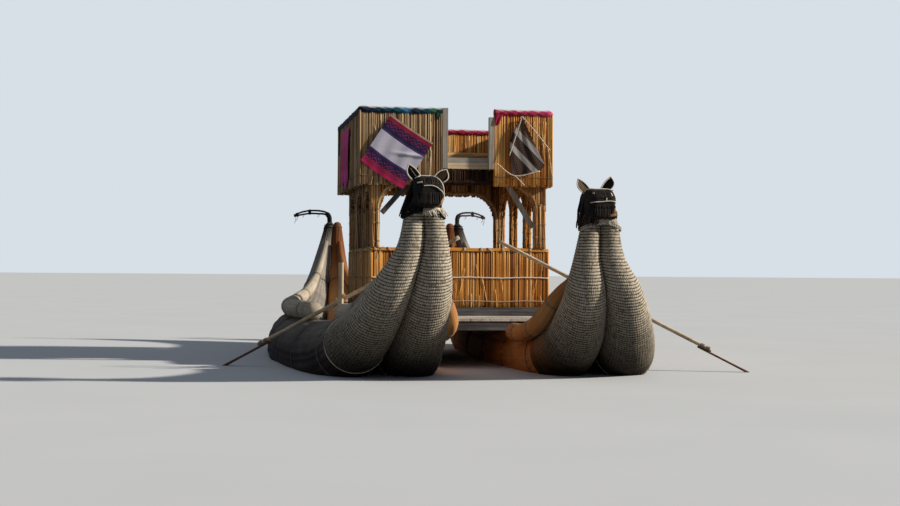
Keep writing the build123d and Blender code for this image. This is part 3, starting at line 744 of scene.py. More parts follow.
# Prow heads
def head_form(side_name):
    """The head's mesh, narrower than the solid at the snout and without its ears, and a search tree of it."""
    node = f"puma_head_{side_name}"
    low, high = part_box(node)
    mesh = shaped_copy(node, f"head_{side_name}", low.z + head_crown, [
        ("REMESH", {"mode": "VOXEL", "voxel_size": head_voxel}),
        ("SMOOTH", {"iterations": 8, "factor": 0.5}),
    ])
    middle = (low + high) / 2
    places = np.zeros(len(mesh.vertices) * 3, np.float32)
    mesh.vertices.foreach_get("co", places)
    places = places.reshape(-1, 3)
    x, y, z = (places - (middle.x, middle.y, low.z)).T
    ahead = np.clip(-y / snout_reach, 0, 1)
    rise = np.clip(z / lean_rise, 0, 1)
    forehead = np.clip((z - forehead_foot) / forehead_rise, 0, 1)
    cheeks = cheek_width - snout_narrowing * ahead**2 * (1 - 0.6 * forehead)
    places[:, 0] = middle.x - sides[side_name] * head_inboard * rise + x * (1 - rise + rise * cheeks)
    places[:, 1] += 0.05 * ahead * forehead**2
    mesh.vertices.foreach_set("co", places.ravel())
    mesh.uv_layers.new(name="metres")
    corners = np.zeros(len(mesh.loops), np.int32)
    mesh.loops.foreach_get("vertex_index", corners)
    across = places[corners, 0] + places[corners, 1]
    uv = np.stack([places[corners, 2] + 0.2 * across, across], 1)
    mesh.uv_layers["metres"].data.foreach_set("uv", uv.astype(np.float32).ravel())
    mesh.update()
    shape = [tuple(polygon.vertices) for polygon in mesh.polygons]
    tree = BVHTree.FromPolygons([vertex.co.copy() for vertex in mesh.vertices], shape)
    return mesh, tree, np.array((middle.x - sides[side_name] * head_inboard, middle.y, low.z))


def on_front(tree, base, line, lift):
    """Points on the head's front at places given across and up from its base."""
    found = []
    for across, up in smooth_path(line, 8 * len(line)):
        start = Vector((base[0] + across, base[1] - 1, base[2] + min(up, head_crown - 0.004)))
        hit, normal = tree.ray_cast(start, Vector((0, 1, 0)))[:2]
        if hit is not None:
            found.append(hit + normal * lift)
    return found


def ear(shells, cords, base, way, outline):
    """A cupped leaf with a pale cord along its edge. Gives the places for a lining in it."""
    inner, outer, tip = (base + (way * across, ear_forward - 0.1, up) for across, up in outline)
    middle, reach = (inner + outer) / 2, (outer - inner) / 2
    cup, thick = 0.024, 0.016

    def leaf(inset, last, forward):
        s = np.linspace(0, last, 14)[:, None, None]
        t = np.linspace(-inset, inset, 11)[None, :, None]
        spread = np.maximum(1 - s**2.6 + 0.25 * np.sin(math.pi * s), 0.08)
        bow = np.array((way * 0.012, 0, 0)) * np.sin(math.pi * s)
        hollow = (0, 1, 0) * (cup * (1 - t**2) * spread - forward)
        return middle + (tip - middle) * s + reach * spread * t + bow + hollow

    front = leaf(1.0, 1.0, 0.0)
    columns = np.linspace(-1, 1, 11)[None, :, None]
    shells.shell(front, front + (0, 1, 0) * (0.004 + thick * (1 - columns**2)), tone=0.5)
    cords.tube(np.concatenate([front[:, 0], front[::-1, -1]]), ear_cord, 7, tone=0.95)
    return leaf(0.62, 0.84, 0.003)


def mane(side_name, base):
    """Dark strands from behind the ears down over the neck, longest at the sides and the back."""
    strands = Batch()
    neck_x = sides[side_name] * hull_stations[0, 3]
    brightest = {"stbd": 0.9, "port": 1.7}[side_name]
    strand_points = 9
    for degrees in np.linspace(mane_first, mane_last, mane_strands):
        turn = math.radians(degrees + rng.normal(0, 1.2))
        across, aft = math.cos(turn), math.sin(turn)
        fringe = aft < -0.3
        top = 0.05 + 0.03 * rng.random() if fringe else 0.24 + 0.03 * rng.random()
        drop = -0.02 - 0.045 * rng.random() if fringe else -0.1 + 0.05 * rng.random()
        if across > 0.3:
            drop += 0.07
        heights = np.linspace(top, drop, strand_points)
        share = (top - heights) / (top - drop)
        wide = 0.128 + (0.08 if across < 0 else 0.02) * share**0.8
        deep = 0.17 - 0.045 * share if not fringe else 0.15
        centre_x = base[0] + (neck_x - base[0]) * share
        sway = rng.normal(0, 0.0035, strand_points).cumsum()
        y = base[1] + 0.03 + aft * deep + 0.5 * sway
        path = np.stack([centre_x + across * wide + sway, y, base[2] + heights], 1)
        radii = rng.uniform(0.007, 0.014) * np.linspace(1, 0.45, strand_points)
        strands.tube(path, radii, 6, tone=rng.uniform(0.1, brightest))
    strands.build(f"mane_{side_name}", reed_dark, slot="dark_reed")


def head_piece(side_name):
    mesh, tree, base = head_form(side_name)
    finish_piece(f"head_{side_name}", mesh, reed_dark, "boat", [f"puma_head_{side_name}"])
    face = faces[side_name]
    shells, linings, cords, strands = Batch(), Batch(), Batch(), Batch()
    for way, outline, lining in face["ears"]:
        inside = ear(shells, cords, base, way, outline)
        if lining is not None:
            linings.shell(inside, inside + np.array((0, 0.002, 0)), tone=lining)
        elif side_name == "stbd":
            cords.tube(inside[1:-2, 3] - (0, 0.004, 0), 0.0045, 6, tone=0.8)
    for across, up, reach, rise in face["eyes"]:
        half = max(reach, rise) / 2
        line = [(across - half, up), (across, up), (across + half, up)]
        if rise > reach:
            line = [(across, up - half), (across, up), (across, up + half)]
        eye = on_front(tree, base, line, 0.002)
        profile = (1 - np.linspace(-0.97, 0.97, len(eye)) ** 4) ** 0.5
        cords.tube(eye, min(reach, rise) / 2 * profile, 8, tone=1.15)
    cords.tube(on_front(tree, base, face["brow"], 0.004), brow_cord, 7, tone=0.95)
    cords.tube(on_front(tree, base, face["mouth"], 0.004), mouth_cord, 7, tone=0.8)
    for across, up in face["teeth"]:
        tooth = [(across, up - 0.012), (across + 0.002, up), (across + 0.003, up + 0.014)]
        cords.tube(on_front(tree, base, tooth, 0.003), tooth_cord, 6, tone=1.0)
    left, right, foot, head = face["chin"]
    for level in np.linspace(foot, head, 10):
        share = (level - foot) / (head - foot)
        start = left + (right - left) * (0.45 * share + 0.2 * rng.random())
        rise = [(start, level), ((start + right) / 2, level + 0.006), (right, level + 0.013)]
        line = on_front(tree, base, rise, 0.002)
        sizes = chin_reed * np.sin(np.linspace(0.3, 2.6, len(line)))
        linings.tube(line, sizes, 6, tone=rng.uniform(0.1, 0.9))
    for across in np.linspace(-0.118, 0.118, 24):
        lean = rng.normal(0, 0.004)
        for foot, head in ((0.015, 0.13), (0.2, 0.27)):
            reed = [(across, foot), (across + lean, (foot + head) / 2), (across, head)]
            line = on_front(tree, base, reed, 0.001)
            if len(line) > 3:
                strands.tube(line, face_reed * rng.uniform(0.7, 1.1), 6, tone=rng.uniform(0, 1.1))
    shells.build(f"ears_{side_name}", reed_dark, slot="dark_reed")
    linings.build(f"ear_linings_{side_name}", reed_tan, slot="rope")
    cords.build(f"head_cords_{side_name}", rope_pale, slot="rope")
    strands.build(f"face_reeds_{side_name}", reed_dark, slot="dark_reed")
    mane(side_name, base)


def twisted(batch, path, reach, size, pitch, strands=2, tone=0.8, closed=False):
    """Strands of rope twisted about a path."""
    run, ahead = distances(path), headings(path)
    side = unit(np.cross(ahead, rope_askew))
    over = np.cross(ahead, side)
    for strand in range(strands):
        turn = 2 * math.pi * (run / pitch + strand / strands)
        line = path + reach * (np.cos(turn)[:, None] * side + np.sin(turn)[:, None] * over)
        batch.tube(line, size, 7, closed=closed, tone=tone + 0.08 * strand)


# Collars: half width, half depth and dip at the sides, then lines across and up from the collar's front
collar_width, collar_depth, collar_dip = 0.2, 0.117, 0.062
loose_cord = [(0.05, -0.004), (0.1, -0.03), (0.145, -0.09)]
braid = [(-0.012, -0.012), (0.04, 0.014), (0.092, 0.022), (0.14, 0.006), (0.172, -0.04), (0.168, -0.085)]
# Number of tufts, their height and their shortest and longest length
tufts = {"stbd": (62, -0.006, (0.035, 0.09)), "port": (16, 0.0, (0.03, 0.055))}


def collar_piece(side_name):
    """Rope round the neck, high in front and low at the sides, with a braid and frayed tufts in front."""
    node = f"neck_collar_{side_name}"
    low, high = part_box(node)
    centre = np.array((low + high) / 2)
    base_x = centre[0] - sides[side_name] * head_inboard
    starboard = side_name == "stbd"

    def place(turn, drop):
        wide, deep = math.cos(turn), math.sin(turn)
        return (centre[0] + collar_width * np.sign(wide) * abs(wide) ** 0.75,
                centre[1] + collar_depth * np.sign(deep) * abs(deep) ** 0.75,
                high.z - 0.018 - collar_dip * abs(wide) ** 1.5 - drop)

    def front(across, up, out):
        share = min(abs(base_x + across - centre[0]) / (collar_width + out), 0.995)
        deep = (collar_depth + out) * (1 - share ** (4 / 3)) ** 0.75
        return (base_x + across, centre[1] - deep, high.z + up)

    batch = Batch()
    for drop in (0.0, 0.02):
        ring = [place(turn, drop) for turn in circle(150)]
        twisted(batch, ring, 0.005, 0.0058, 0.045, tone=0.3, closed=True)
    batch.build(f"collar_{side_name}", reed_dark if starboard else rope_pale, replaces=[node], slot="rope")
    trim = Batch()
    if starboard:
        path = [front(across, up, 0.02) for across, up in smooth_path(loose_cord, 60)]
        twisted(trim, path, 0.007, 0.0075, 0.05, tone=0.7)
    else:
        for lift in (0.0, -0.024):
            path = [front(across, up + lift, 0.022) for across, up in smooth_path(braid, 90)]
            twisted(trim, path, 0.012, 0.0125, 0.075, strands=3, tone=0.45)
    count, top, lengths = tufts[side_name]
    for _ in range(count):
        start = np.array(front(rng.uniform(-0.05, 0.15), top, 0.014))
        length = rng.uniform(*lengths)
        lean = rng.normal(0.15, 0.4)
        line = [start + np.array((lean * t * length, -0.02 * math.sin(math.pi * t), -t * length))
                for t in np.linspace(0, 1, 8)]
        trim.tube(line, rng.uniform(0.0045, 0.0075) * np.linspace(1, 0.6, 8), 6, tone=rng.uniform(0.1, 1.2))
    trim.build(f"collar_trim_{side_name}", rope_pale, slot="rope")


# Stern hooks: two dark rods side by side, tied together
hook_steep, hook_heading = math.radians(78), math.radians(35)
hook_arm = ((0.2, 0.004), (0.34, 0.008), (0.48, -0.01))
hook_points = 90
rod_radius = 0.0165
# Along the hook's points: half the distance between the rods, thin bindings, thick windings, loose ends
rod_gaps = ([0, 30, 50, 76, 89], [0.012, 0.012, 0.023, 0.02, 0.008])
binding_places = (34, 64, 84)
winding_places = range(11, 33, 2)
loose_ends = ((84, 0.07), (87, 0.1), (74, 0.05), (50, 0.06))


def hook_piece(side_name):
    """The hook rises along the stern, turns at its corner and ends in a nearly level arm with loose ties."""
    last = len(hull_stations) - 1
    centre, _, _, radius = station(last, side_name)
    side = sides[side_name]
    onward = np.array((0, math.cos(hook_steep), math.sin(hook_steep)))
    out = np.array((side * math.cos(hook_heading), math.sin(hook_heading), 0))
    start = centre + (side * squeeze * radius, 0, 0) - 0.12 * onward
    corner = start + 0.27 * onward
    tip = corner + 0.62 * out - (0, 0, 0.045)
    arm = [corner + reach * out + (0, 0, rise) for reach, rise in hook_arm]
    knots = [start, start + 0.13 * onward, corner - 0.06 * onward + 0.012 * out,
             corner + 0.075 * out - 0.012 * onward, *arm, tip]
    path = smooth_path(knots, hook_points)
    ahead = headings(path)
    level = np.cross(out, (0, 0, 1))
    over = np.cross(ahead, level)
    rods, cords = Batch(), Batch()
    apart = np.interp(np.arange(hook_points), *rod_gaps)[:, None]
    taper = np.linspace(1, 0.75, hook_points)
    for way in (-1, 1):
        rods.tube(path + way * apart * over, rod_radius * taper, 8, tone=0.7 + 0.3 * way)

    def winding(place, shift, size, tone):
        high, wide = apart[place, 0] + 0.0155, 0.0175
        ring = ellipse(path[place] + ahead[place] * shift, high * over[place], wide * level, 18)
        rods.tube(ring, size, 6, closed=True, tone=tone)

    for place in binding_places:
        for shift in np.linspace(-0.012, 0.012, 4):
            winding(place, shift, 0.0042, 0.9)
    for place in winding_places:
        winding(place, 0.0, 0.012, 0.5)
    for place in np.linspace(last - 0.3, last - 0.15, 3):
        ring = bundle_ring(place, side_name, 1, circle(24) + math.pi, 0.001)
        rods.tube(ring, 0.0065, 6, closed=True, tone=0.6)
    for place, length in loose_ends:
        line = [path[place] + (0.008 * math.sin(5 * t), 0.004 * t, -0.02 - length * t)
                for t in np.linspace(0, 1, 7)]
        cords.tube(line, 0.004, 5, tone=0.5)
    rods.build(f"hook_{side_name}", reed_dark, replaces=[f"stern_hook_{side_name}"], slot="dark_reed")
    cords.build(f"hook_ties_{side_name}", rope_dark, slot="rope")


# House and gallery: radii of reeds and cords, and how uneven the reeds' ends are
reed_sizes, end_reed = (0.007, 0.0135), 0.012
filling_reed, filling_step = 0.019, 0.032
screen_ragged, panel_ragged = 0.014, 0.03
reed_tone, tone_spread = 0.46, 0.27
wall_cord, bundle_cord = 0.0042, 0.0038

# Height of the walls' stitching, sides of the doorway, and the arches' corners, heights and piers
stitch_rise = 0.345
doorway = (-0.1, 0.4)
arch_corner, arch_rise, arch_starboard, arch_port = 0.33, 0.74, 0.11, 0.15
side_pier, side_rise, side_bays = 0.11, 0.72, 3


class Wall:
    """A straight wall's own coordinates: along it, out of it to one side, and up."""

    def __init__(self, start, end, thickness):
        self.start, end = np.array(start, float), np.array(end, float)
        self.length = float(np.linalg.norm(end - self.start))
        self.ahead = (end - self.start) / self.length
        self.side = np.array((-self.ahead[1], self.ahead[0]))
        self.thickness = thickness

    def at(self, along, out, up):
        along, out, up = np.broadcast_arrays(along, out, up)
        return np.column_stack([self.start + np.outer(along, self.ahead) + np.outer(out, self.side), up])


def screen(reeds, ropes, wall, bottom, top, stitches=(), ragged=panel_ragged, tone=0.0):
    """Upright reeds on both faces, with thicker ones between them and at the ends. bottom gives the height of
    the lower edge at each distance. stitches: height, radius and tone of each row of cord."""
    phases = rng.uniform(0, 2 * math.pi, 4)
    for layer in (-1, 1):
        place = 0.006
        while place < wall.length - 0.004:
            size = rng.uniform(*reed_sizes)
            foot = bottom(place) - 0.4 * ragged + ragged * rng.random() ** 2
            heights = np.linspace(foot, top - ragged * rng.random() ** 2, 4)
            sway = rng.normal(0, 0.0018, 4).cumsum()
            out = layer * (wall.thickness / 2 - size - rng.uniform(0, 0.006))
            drift = (0.2 * math.sin(17 * place + phases[layer])
                     + 0.14 * math.sin(43 * place + phases[layer + 2]))
            shade = np.clip(rng.normal(reed_tone + tone + drift, tone_spread), -0.3, 1.15)
            reeds.tube(wall.at(place + sway, out, heights), size * np.linspace(1, 0.85, 4), 5, tone=shade)
            place += size * rng.uniform(1.5, 1.95)
    for place in np.arange(0.02, wall.length - 0.01, filling_step):
        foot = bottom(place)
        if top - foot > 0.08:
            line = wall.at(place, 0.0, np.array((foot + 0.03, top - 0.02)))
            reeds.tube(line, filling_reed, 5, tone=-0.5)
    edge = wall.thickness / 2 - end_reed
    for place in (end_reed, wall.length - end_reed):
        for out in np.linspace(-edge, edge, 3):
            line = wall.at(place, out, np.linspace(bottom(place), top, 3))
            reeds.tube(line, end_reed, 6, tone=rng.uniform(0.2, 1.0))
    for height, size, shade in stitches:
        steps = np.linspace(0.004, wall.length - 0.004, max(8, int(wall.length / 0.025)))
        covered = np.array([bottom(step) <= height for step in steps])
        wave = 0.004 * np.sin(steps * 9 + phases[0]) + 0.0015 * np.sin(steps * 60)
        for layer in (-1, 1):
            line = wall.at(steps, layer * (wall.thickness / 2 + 0.001), height + wave)[covered]
            if len(line) > 3:
                ropes.tube(line, size, 5, tone=shade)


def straws(batch, wall, low, high, count, reach=0.3):
    """Loose straws that lie against a wall's faces."""
    for _ in range(count):
        layer = 1 if rng.random() < 0.5 else -1
        along, up = rng.uniform(0.03, wall.length - 0.03), rng.uniform(low, high)
        half, lean = rng.uniform(0.3, 1.0) * reach / 2, rng.normal(0, 0.16)
        t = np.linspace(-1, 1, 6)
        heights = np.clip(up + half * t, low - 0.01, high + 0.004)
        line = wall.at(along + lean * half * t, layer * (wall.thickness / 2 + 0.002), heights)
        line[:, 0:2] += np.outer(0.003 * np.sin(3 * t + along), wall.ahead)
        batch.tube(line, rng.uniform(0.0025, 0.0045), 5, tone=rng.uniform(0.9, 1.5))


def top_roll(reeds, ropes, wall, top):
    """A thin roll of reeds along a low wall's top, tied down at uneven steps."""
    steps = np.linspace(0.004, wall.length - 0.004, max(10, int(wall.length / 0.05)))
    for out, up in ((-0.018, -0.014), (0.018, -0.014), (0.0, -0.008), (-0.03, -0.028), (0.03, -0.028)):
        wander = 0.003 * np.sin(steps * rng.uniform(5, 9) + rng.uniform(0, 6))
        line = wall.at(steps, out + wander, top + up + wander)
        reeds.tube(line, rng.uniform(0.009, 0.013), 6, tone=rng.uniform(0.3, 1.1))
    turns = circle(14)
    place = 0.05
    while place < wall.length - 0.03:
        lean = rng.normal(0, 0.02)
        for shift in (0, 0.011):
            along = place + shift + lean * np.sin(turns)
            ring = wall.at(along, 0.046 * np.cos(turns), top - 0.022 + 0.026 * np.sin(turns))
            ropes.tube(ring, wall_cord, 5, closed=True, tone=0.6)
        place += rng.uniform(0.1, 0.22)


def reed_bundle(reeds, ropes, wall, run, depth, round_size, count, ties):
    """A round bundle along a line in the wall's plane, given as rows of distance and height."""
    run = np.asarray(run, float)
    slope = headings(run)
    normal = np.column_stack([-slope[:, 1], slope[:, 0]])
    marks = distances(run)

    def off(reach, turn):
        shift = (reach * np.cos(turn))[:, None] * normal
        return wall.at(run[:, 0] + shift[:, 0], depth + reach * np.sin(turn), run[:, 1] + shift[:, 1])

    reeds.tube(off(0.0, np.zeros(len(run))), round_size * 0.72, 6, tone=-0.4)
    for k in range(count):
        turn = 2 * math.pi * k / count + 1.6 * marks + 0.15 * np.sin(7 * marks + k)
        size = round_size * rng.uniform(0.3, 0.42)
        reeds.tube(off(round_size * 0.7, turn), size, 5, tone=rng.uniform(0.0, 1.15))
    turns = circle(12)
    reach = round_size * 1.06
    place = rng.uniform(0.03, ties)
    while place < marks[-1] - 0.02:
        near = int(np.argmin(np.abs(marks - place)))
        for shift in (0.0, 0.01):
            along, up = (run[near] + shift * slope[near] + reach * np.outer(np.cos(turns), normal[near])).T
            ring = wall.at(along, depth + reach * np.sin(turns), up)
            ropes.tube(ring, bundle_cord, 5, closed=True, tone=0.55)
        place += ties * rng.uniform(0.8, 1.2)


def arch_height(distance, left, right, corner, spring):
    """Height of an arch with rounded corners at a distance along its wall, or None beside it."""
    inside = min(distance - left, right - distance)
    if inside < 0:
        return None
    if inside >= corner:
        return spring + corner
    return spring + math.sqrt(max(0.0, corner**2 - (corner - inside) ** 2))


def panel(node):
    """The wall in a node's box, and its lowest and highest heights."""
    low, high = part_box(node)
    if high.x - low.x > high.y - low.y:
        middle = (low.y + high.y) / 2
        return Wall((low.x, middle), (high.x, middle), high.y - low.y), low.z, high.z
    middle = (low.x + high.x) / 2
    return Wall((middle, low.y), (middle, high.y), high.x - low.x), low.z, high.z


def build_screen(node, reeds, ropes, material, cord, cord_name="stitches"):
    reeds.build(f"{node}_reeds", material, replaces=[node], slot="house_reed")
    ropes.build(f"{node}_{cord_name}", cord, slot="rope")


def arch_screen(node, openings, material, posts=(), cord=rope_tan):
    """openings: left, right, corner radius and spring height of each arch along the wall. posts: distances of
    upright bundles beside the arches."""
    wall, low, high = panel(node)
    spring = openings[0][3]

    def edge(distance):
        heights = [arch_height(distance, *opening) for opening in openings]
        return next((height for height in heights if height is not None), spring + 0.03)

    reeds, ropes = Batch(), Batch()
    screen(reeds, ropes, wall, edge, high, ragged=screen_ragged, tone=-0.05)
    inset = 0.027
    uprights = np.arange(low, spring, 0.07)
    for left, right, corner, spring in openings:
        run = [(left - inset, z) for z in uprights]
        for distance in left + (right - left) * (0.5 - 0.5 * np.cos(math.pi * np.linspace(0, 1, 30))):
            side_share = (distance - left) / (right - left) * 2 - 1
            crown = arch_height(distance, left, right, corner, spring)
            run.append((distance + inset * side_share, crown + inset))
        run += [(right + inset, z) for z in uprights[::-1]]
        for depth in (-0.024, 0.024):
            reed_bundle(reeds, ropes, wall, run, depth, 0.025, 8, 0.16)
    for place in posts:
        for depth in (-0.022, 0.022):
            run = [(place, z) for z in np.linspace(low, spring + 0.1, 10)]
            reed_bundle(reeds, ropes, wall, run, depth, 0.026, 8, 0.2)
    build_screen(node, reeds, ropes, material, cord)


def low_wall(node, material, cord, middle_stitch):
    wall, low, high = panel(node)
    reeds, ropes = Batch(), Batch()
    stitches = [middle_stitch, (low + 0.07, 0.005, 0.3)]
    screen(reeds, ropes, wall, lambda distance: low, high - 0.012, stitches)
    top_roll(reeds, ropes, wall, high)
    straws(reeds, wall, low, high, int(wall.length * 22), 0.34)
    build_screen(node, reeds, ropes, material, cord)


def back_wall():
    """The low wall on both sides of the doorway."""
    whole, low, high = panel("wall_back")
    reeds, ropes = Batch(), Batch()
    (left, middle), right = whole.start, whole.start[0] + whole.length
    for first, last in ((left, doorway[0]), (doorway[1], right)):
        wall = Wall((first, middle), (last, middle), whole.thickness)
        screen(reeds, ropes, wall, lambda distance: low, high - 0.012, [(low + stitch_rise, 0.005, 0.6)])
        top_roll(reeds, ropes, wall, high)
        straws(reeds, wall, low, high, 20)
    build_screen("wall_back", reeds, ropes, reed_golden, rope_tan)


def house():
    stitch_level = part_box("wall_front")[0].z + stitch_rise
    low_wall("wall_front", reed_amber, rope_pale, (stitch_level, 0.0075, 1.1))
    low_wall("wall_stbd", reed_golden, rope_tan, (stitch_level, 0.005, 0.5))
    low_wall("wall_port", reed_amber, rope_tan, (stitch_level, 0.005, 0.5))
    back_wall()
    wall, low, _ = panel("arcade_front")
    across = [(arch_starboard, wall.length - arch_port, arch_corner, low + arch_rise - arch_corner)]
    posts = (0.03, wall.length - 0.075, wall.length - 0.028)
    arch_screen("arcade_front", across, reed_shaded, posts, rope_shaded)
    arch_screen("arcade_back", across, reed_golden, posts)
    wall, low, _ = panel("arcade_stbd")
    bay = (wall.length - (side_bays - 1) * side_pier) / side_bays
    starts = [k * (bay + side_pier) for k in range(side_bays)]
    along = [(start, start + bay, bay / 2, low + side_rise - bay / 2) for start in starts]
    arch_screen("arcade_stbd", along, reed_tawny)
    arch_screen("arcade_port", along, reed_amber)


def gallery():
    materials = {"parapet_front_stbd": reed_tawny, "parapet_stbd": reed_tawny,
                 "parapet_front_port": reed_amber, "parapet_port": reed_amber, "parapet_back": reed_amber}
    for node, material in materials.items():
        wall, low, high = panel(node)
        reeds, ropes = Batch(), Batch()
        screen(reeds, ropes, wall, lambda distance: low, high + 0.035, [(low + 0.1, 0.0045, 0.1)], tone=0.06)
        straws(reeds, wall, low, high - 0.05, int(wall.length * 16), 0.5)
        build_screen(node, reeds, ropes, material, rope_tan)
    wall, low, high = panel("gallery_bench")
    middle = (low + high) / 2
    run = [(s, middle) for s in np.linspace(0, wall.length, 40)]
    reeds, ropes = Batch(), Batch()
    reed_bundle(reeds, ropes, wall, run, 0.0, 0.113, 26, 0.3)
    steps = np.linspace(0.01, wall.length - 0.01, 12)
    for turn in circle(40):
        line = wall.at(steps, 0.108 * math.cos(turn), middle + 0.108 * math.sin(turn))
        reeds.tube(line, rng.uniform(0.007, 0.011), 6, tone=rng.uniform(0.2, 1.3))
    build_screen("gallery_bench", reeds, ropes, reed_golden, rope_tan, "ties")


# Rims wrapped in cloth
rim_radius = 0.041
rim_around = 22
rim_step = 0.0125
winding_pitch = 0.13


def tail(batch, top, along, width, drop, lean):
    """A loose end of the wrapping that hangs from a point, as a thin leaf."""
    t = np.linspace(0, 1, 12)[:, None, None]
    s = np.linspace(-0.5, 0.5, 8)[None, :, None]
    out = np.array((-along[1], along[0], 0.0))
    ripple = 0.008 * np.sin(11 * s + 3 * t) * t
    face = np.array(top) + np.array(along) * width * s * (1 - 0.55 * t) + np.array((0, 0, -drop)) * t
    face = face + np.array(along) * lean * t + out * ripple
    batch.shell(face, face + out * 0.004, tone=0.5)


def rim_piece(node, points, material, slot, tails=()):
    """Cloth wound round a rail through points, with the windings' edges and creases in its section."""
    path = []
    for a, b in zip(points, points[1:]):
        a, b = np.array(a), np.array(b)
        count = max(2, int(np.linalg.norm(b - a) / rim_step))
        path += [a + (b - a) * t for t in np.linspace(0, 1, count, endpoint=False)]
    path = np.array([*path, points[-1]])
    weights = np.array([1, 2, 3, 2, 1]) / 9
    for _ in range(3):
        inner = np.array([np.convolve(path[:, k], weights, mode="valid") for k in range(3)]).T
        path = np.concatenate([path[:2], inner, path[-2:]])
    run = distances(path)[:, None]
    turns = circle(rim_around)[None, :]
    phases = rng.uniform(0, 2 * math.pi, 4)
    overlap = np.mod(run / winding_pitch + turns / (2 * math.pi) + 0.12 * np.sin(9 * run + phases[0]), 1.0)
    creases = sum(depth * np.sin(across * turns + along * run + phase) for (depth, across, along), phase
                  in zip(((0.05, 3, 31), (0.04, 5, -57), (0.035, 2, 13)), phases[1:]))
    batch = Batch()
    batch.tube(path, rim_radius, rim_around, tone=0.5, ripple=0.94 + 0.13 * overlap + creases)
    for row in tails:
        tail(batch, *row)
    batch.build(node + "_wrap", material, replaces=[node], slot=slot)


def wrap_material(name, stops, first, last):
    """Wrapped cloth: stops give its colours along X between two places. Its upper side is painted paler, a
    painted highlight where the light falls on it.
    """
    n = Nodes(name)
    uv, where = n.uv(), n.where()
    place = n.share(n.axis(where, "X"), first, last)
    wander = n.math("MULTIPLY", n.math("SUBTRACT", n.noise(where, 9.0, 3.0), 0.5), 0.16)
    colour = n.ramp(n.math("ADD", place, wander), stops)
    slant = n.math("ADD", n.axis(uv, "Y"), n.math("MULTIPLY", n.axis(uv, "X"), 0.45))
    band = n.ramp(n.math("FRACT", n.math("MULTIPLY", slant, 15.4)), [
        (0.0, white), (0.5, (0.45, 0.4, 0.5)), (0.62, white), (0.86, (0.6, 0.6, 0.6)),
    ], constant=True)
    colour = n.tint(colour, band, 0.7)
    # Painted highlight: faces that look upwards are mixed towards a pale colour.
    facing = n.axis(n.add("ShaderNodeNewGeometry").outputs["Normal"], "Z")
    top = n.ramp(facing, [(0.45, black), (0.8, white)])
    colour = n.mix(n.math("MULTIPLY", top, 0.72), colour, (0.78, 0.74, 0.74))
    return woven(n, uv, colour, 240.0, (0.3, 0.3, 0.3), 0.3, 0.15, 0.5, 0.003)


navy, teal, sky_blue, moss = (0.012, 0.018, 0.06), (0.008, 0.1, 0.14), (0.06, 0.3, 0.55), (0.03, 0.2, 0.09)
wrap_blue = wrap_material("wrap_blue", [
    (0.0, navy), (0.3, (0.01, 0.05, 0.09)), (0.46, teal), (0.56, sky_blue), (0.64, navy), (0.8, teal),
    (0.88, moss), (1.0, navy),
], -1.13, -0.15)
wrap_pink = wrap_material("wrap_pink", [
    (0.0, (0.5, 0.015, 0.07)), (0.35, (0.66, 0.05, 0.15)), (0.7, (0.42, 0.012, 0.05)),
    (1.0, (0.62, 0.06, 0.16)),
], -1.13, 1.18)


def rims():
    inset = 0.045
    along_x, along_y = (1.0, 0.0, 0.0), (0.0, 1.0, 0.0)
    for side_name, material, slot in (("stbd", wrap_blue, "blue_wrap"), ("port", wrap_pink, "pink_wrap")):
        low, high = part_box(f"rim_{side_name}")
        level = (low.z + high.z) / 2
        front = low.y + inset
        if side_name == "stbd":
            line, gap = low.x + inset, high.x
            tails = [((gap - 0.04, front - 0.036, level + 0.01), along_x, 0.07, 0.1, -0.02),
                     ((line - 0.03, high.y - 0.12, level), along_y, 0.12, 0.36, 0.03)]
        else:
            line, gap = high.x - inset, low.x
            tails = [((gap + 0.06, front - 0.038, level + 0.01), along_x, 0.11, 0.15, -0.03),
                     ((line + 0.02, front + 0.1, level), along_y, 0.05, 0.09, 0.02)]
        points = [(gap, front, level), (line, front, level), (line, high.y, level)]
        rim_piece(f"rim_{side_name}", points, material, slot, tails)
    low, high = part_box("rim_back")
    middle = (low + high) / 2
    rim_piece("rim_back", [(low.x, middle.y, middle.z), (high.x, middle.y, middle.z)], wrap_pink, "pink_wrap")


# Cloths hung on the gallery
cloth_count = 64
starboard_pin, port_pin = (-0.764, 2.872), (0.783, 2.872)
starboard_turn, stripe_turn = math.radians(-33), math.radians(-45)
stripe_span = 0.56
down_share, across_share = np.mgrid[0:1:cloth_count * 1j, 0:1:cloth_count * 1j]
plain, worked = black, white


def cloth_sheet(node, points, u, v, material):
    batch = Batch()
    batch.grid(points, False, u, v)
    piece = batch.build(f"{node}_sheet", material, replaces=[node], slot="cloth")


def creased(u, v, depth):
    """Depth of the folds of a hung cloth at places across and down it, as shares of its size."""
    waves = 0.5 + 0.5 * np.sin(8.5 * u + 2.4 * v) * (0.35 + 0.65 * v)
    fine = 0.5 + 0.5 * np.sin(21 * u - 4 * v + 1.5 * np.sin(3 * v))
    return depth * (0.75 * waves + 0.25 * fine)


def turned(angle):
    """Directions across and down a cloth turned in its own plane."""
    return (np.array((math.cos(angle), math.sin(angle))), np.array((math.sin(angle), -math.cos(angle))))


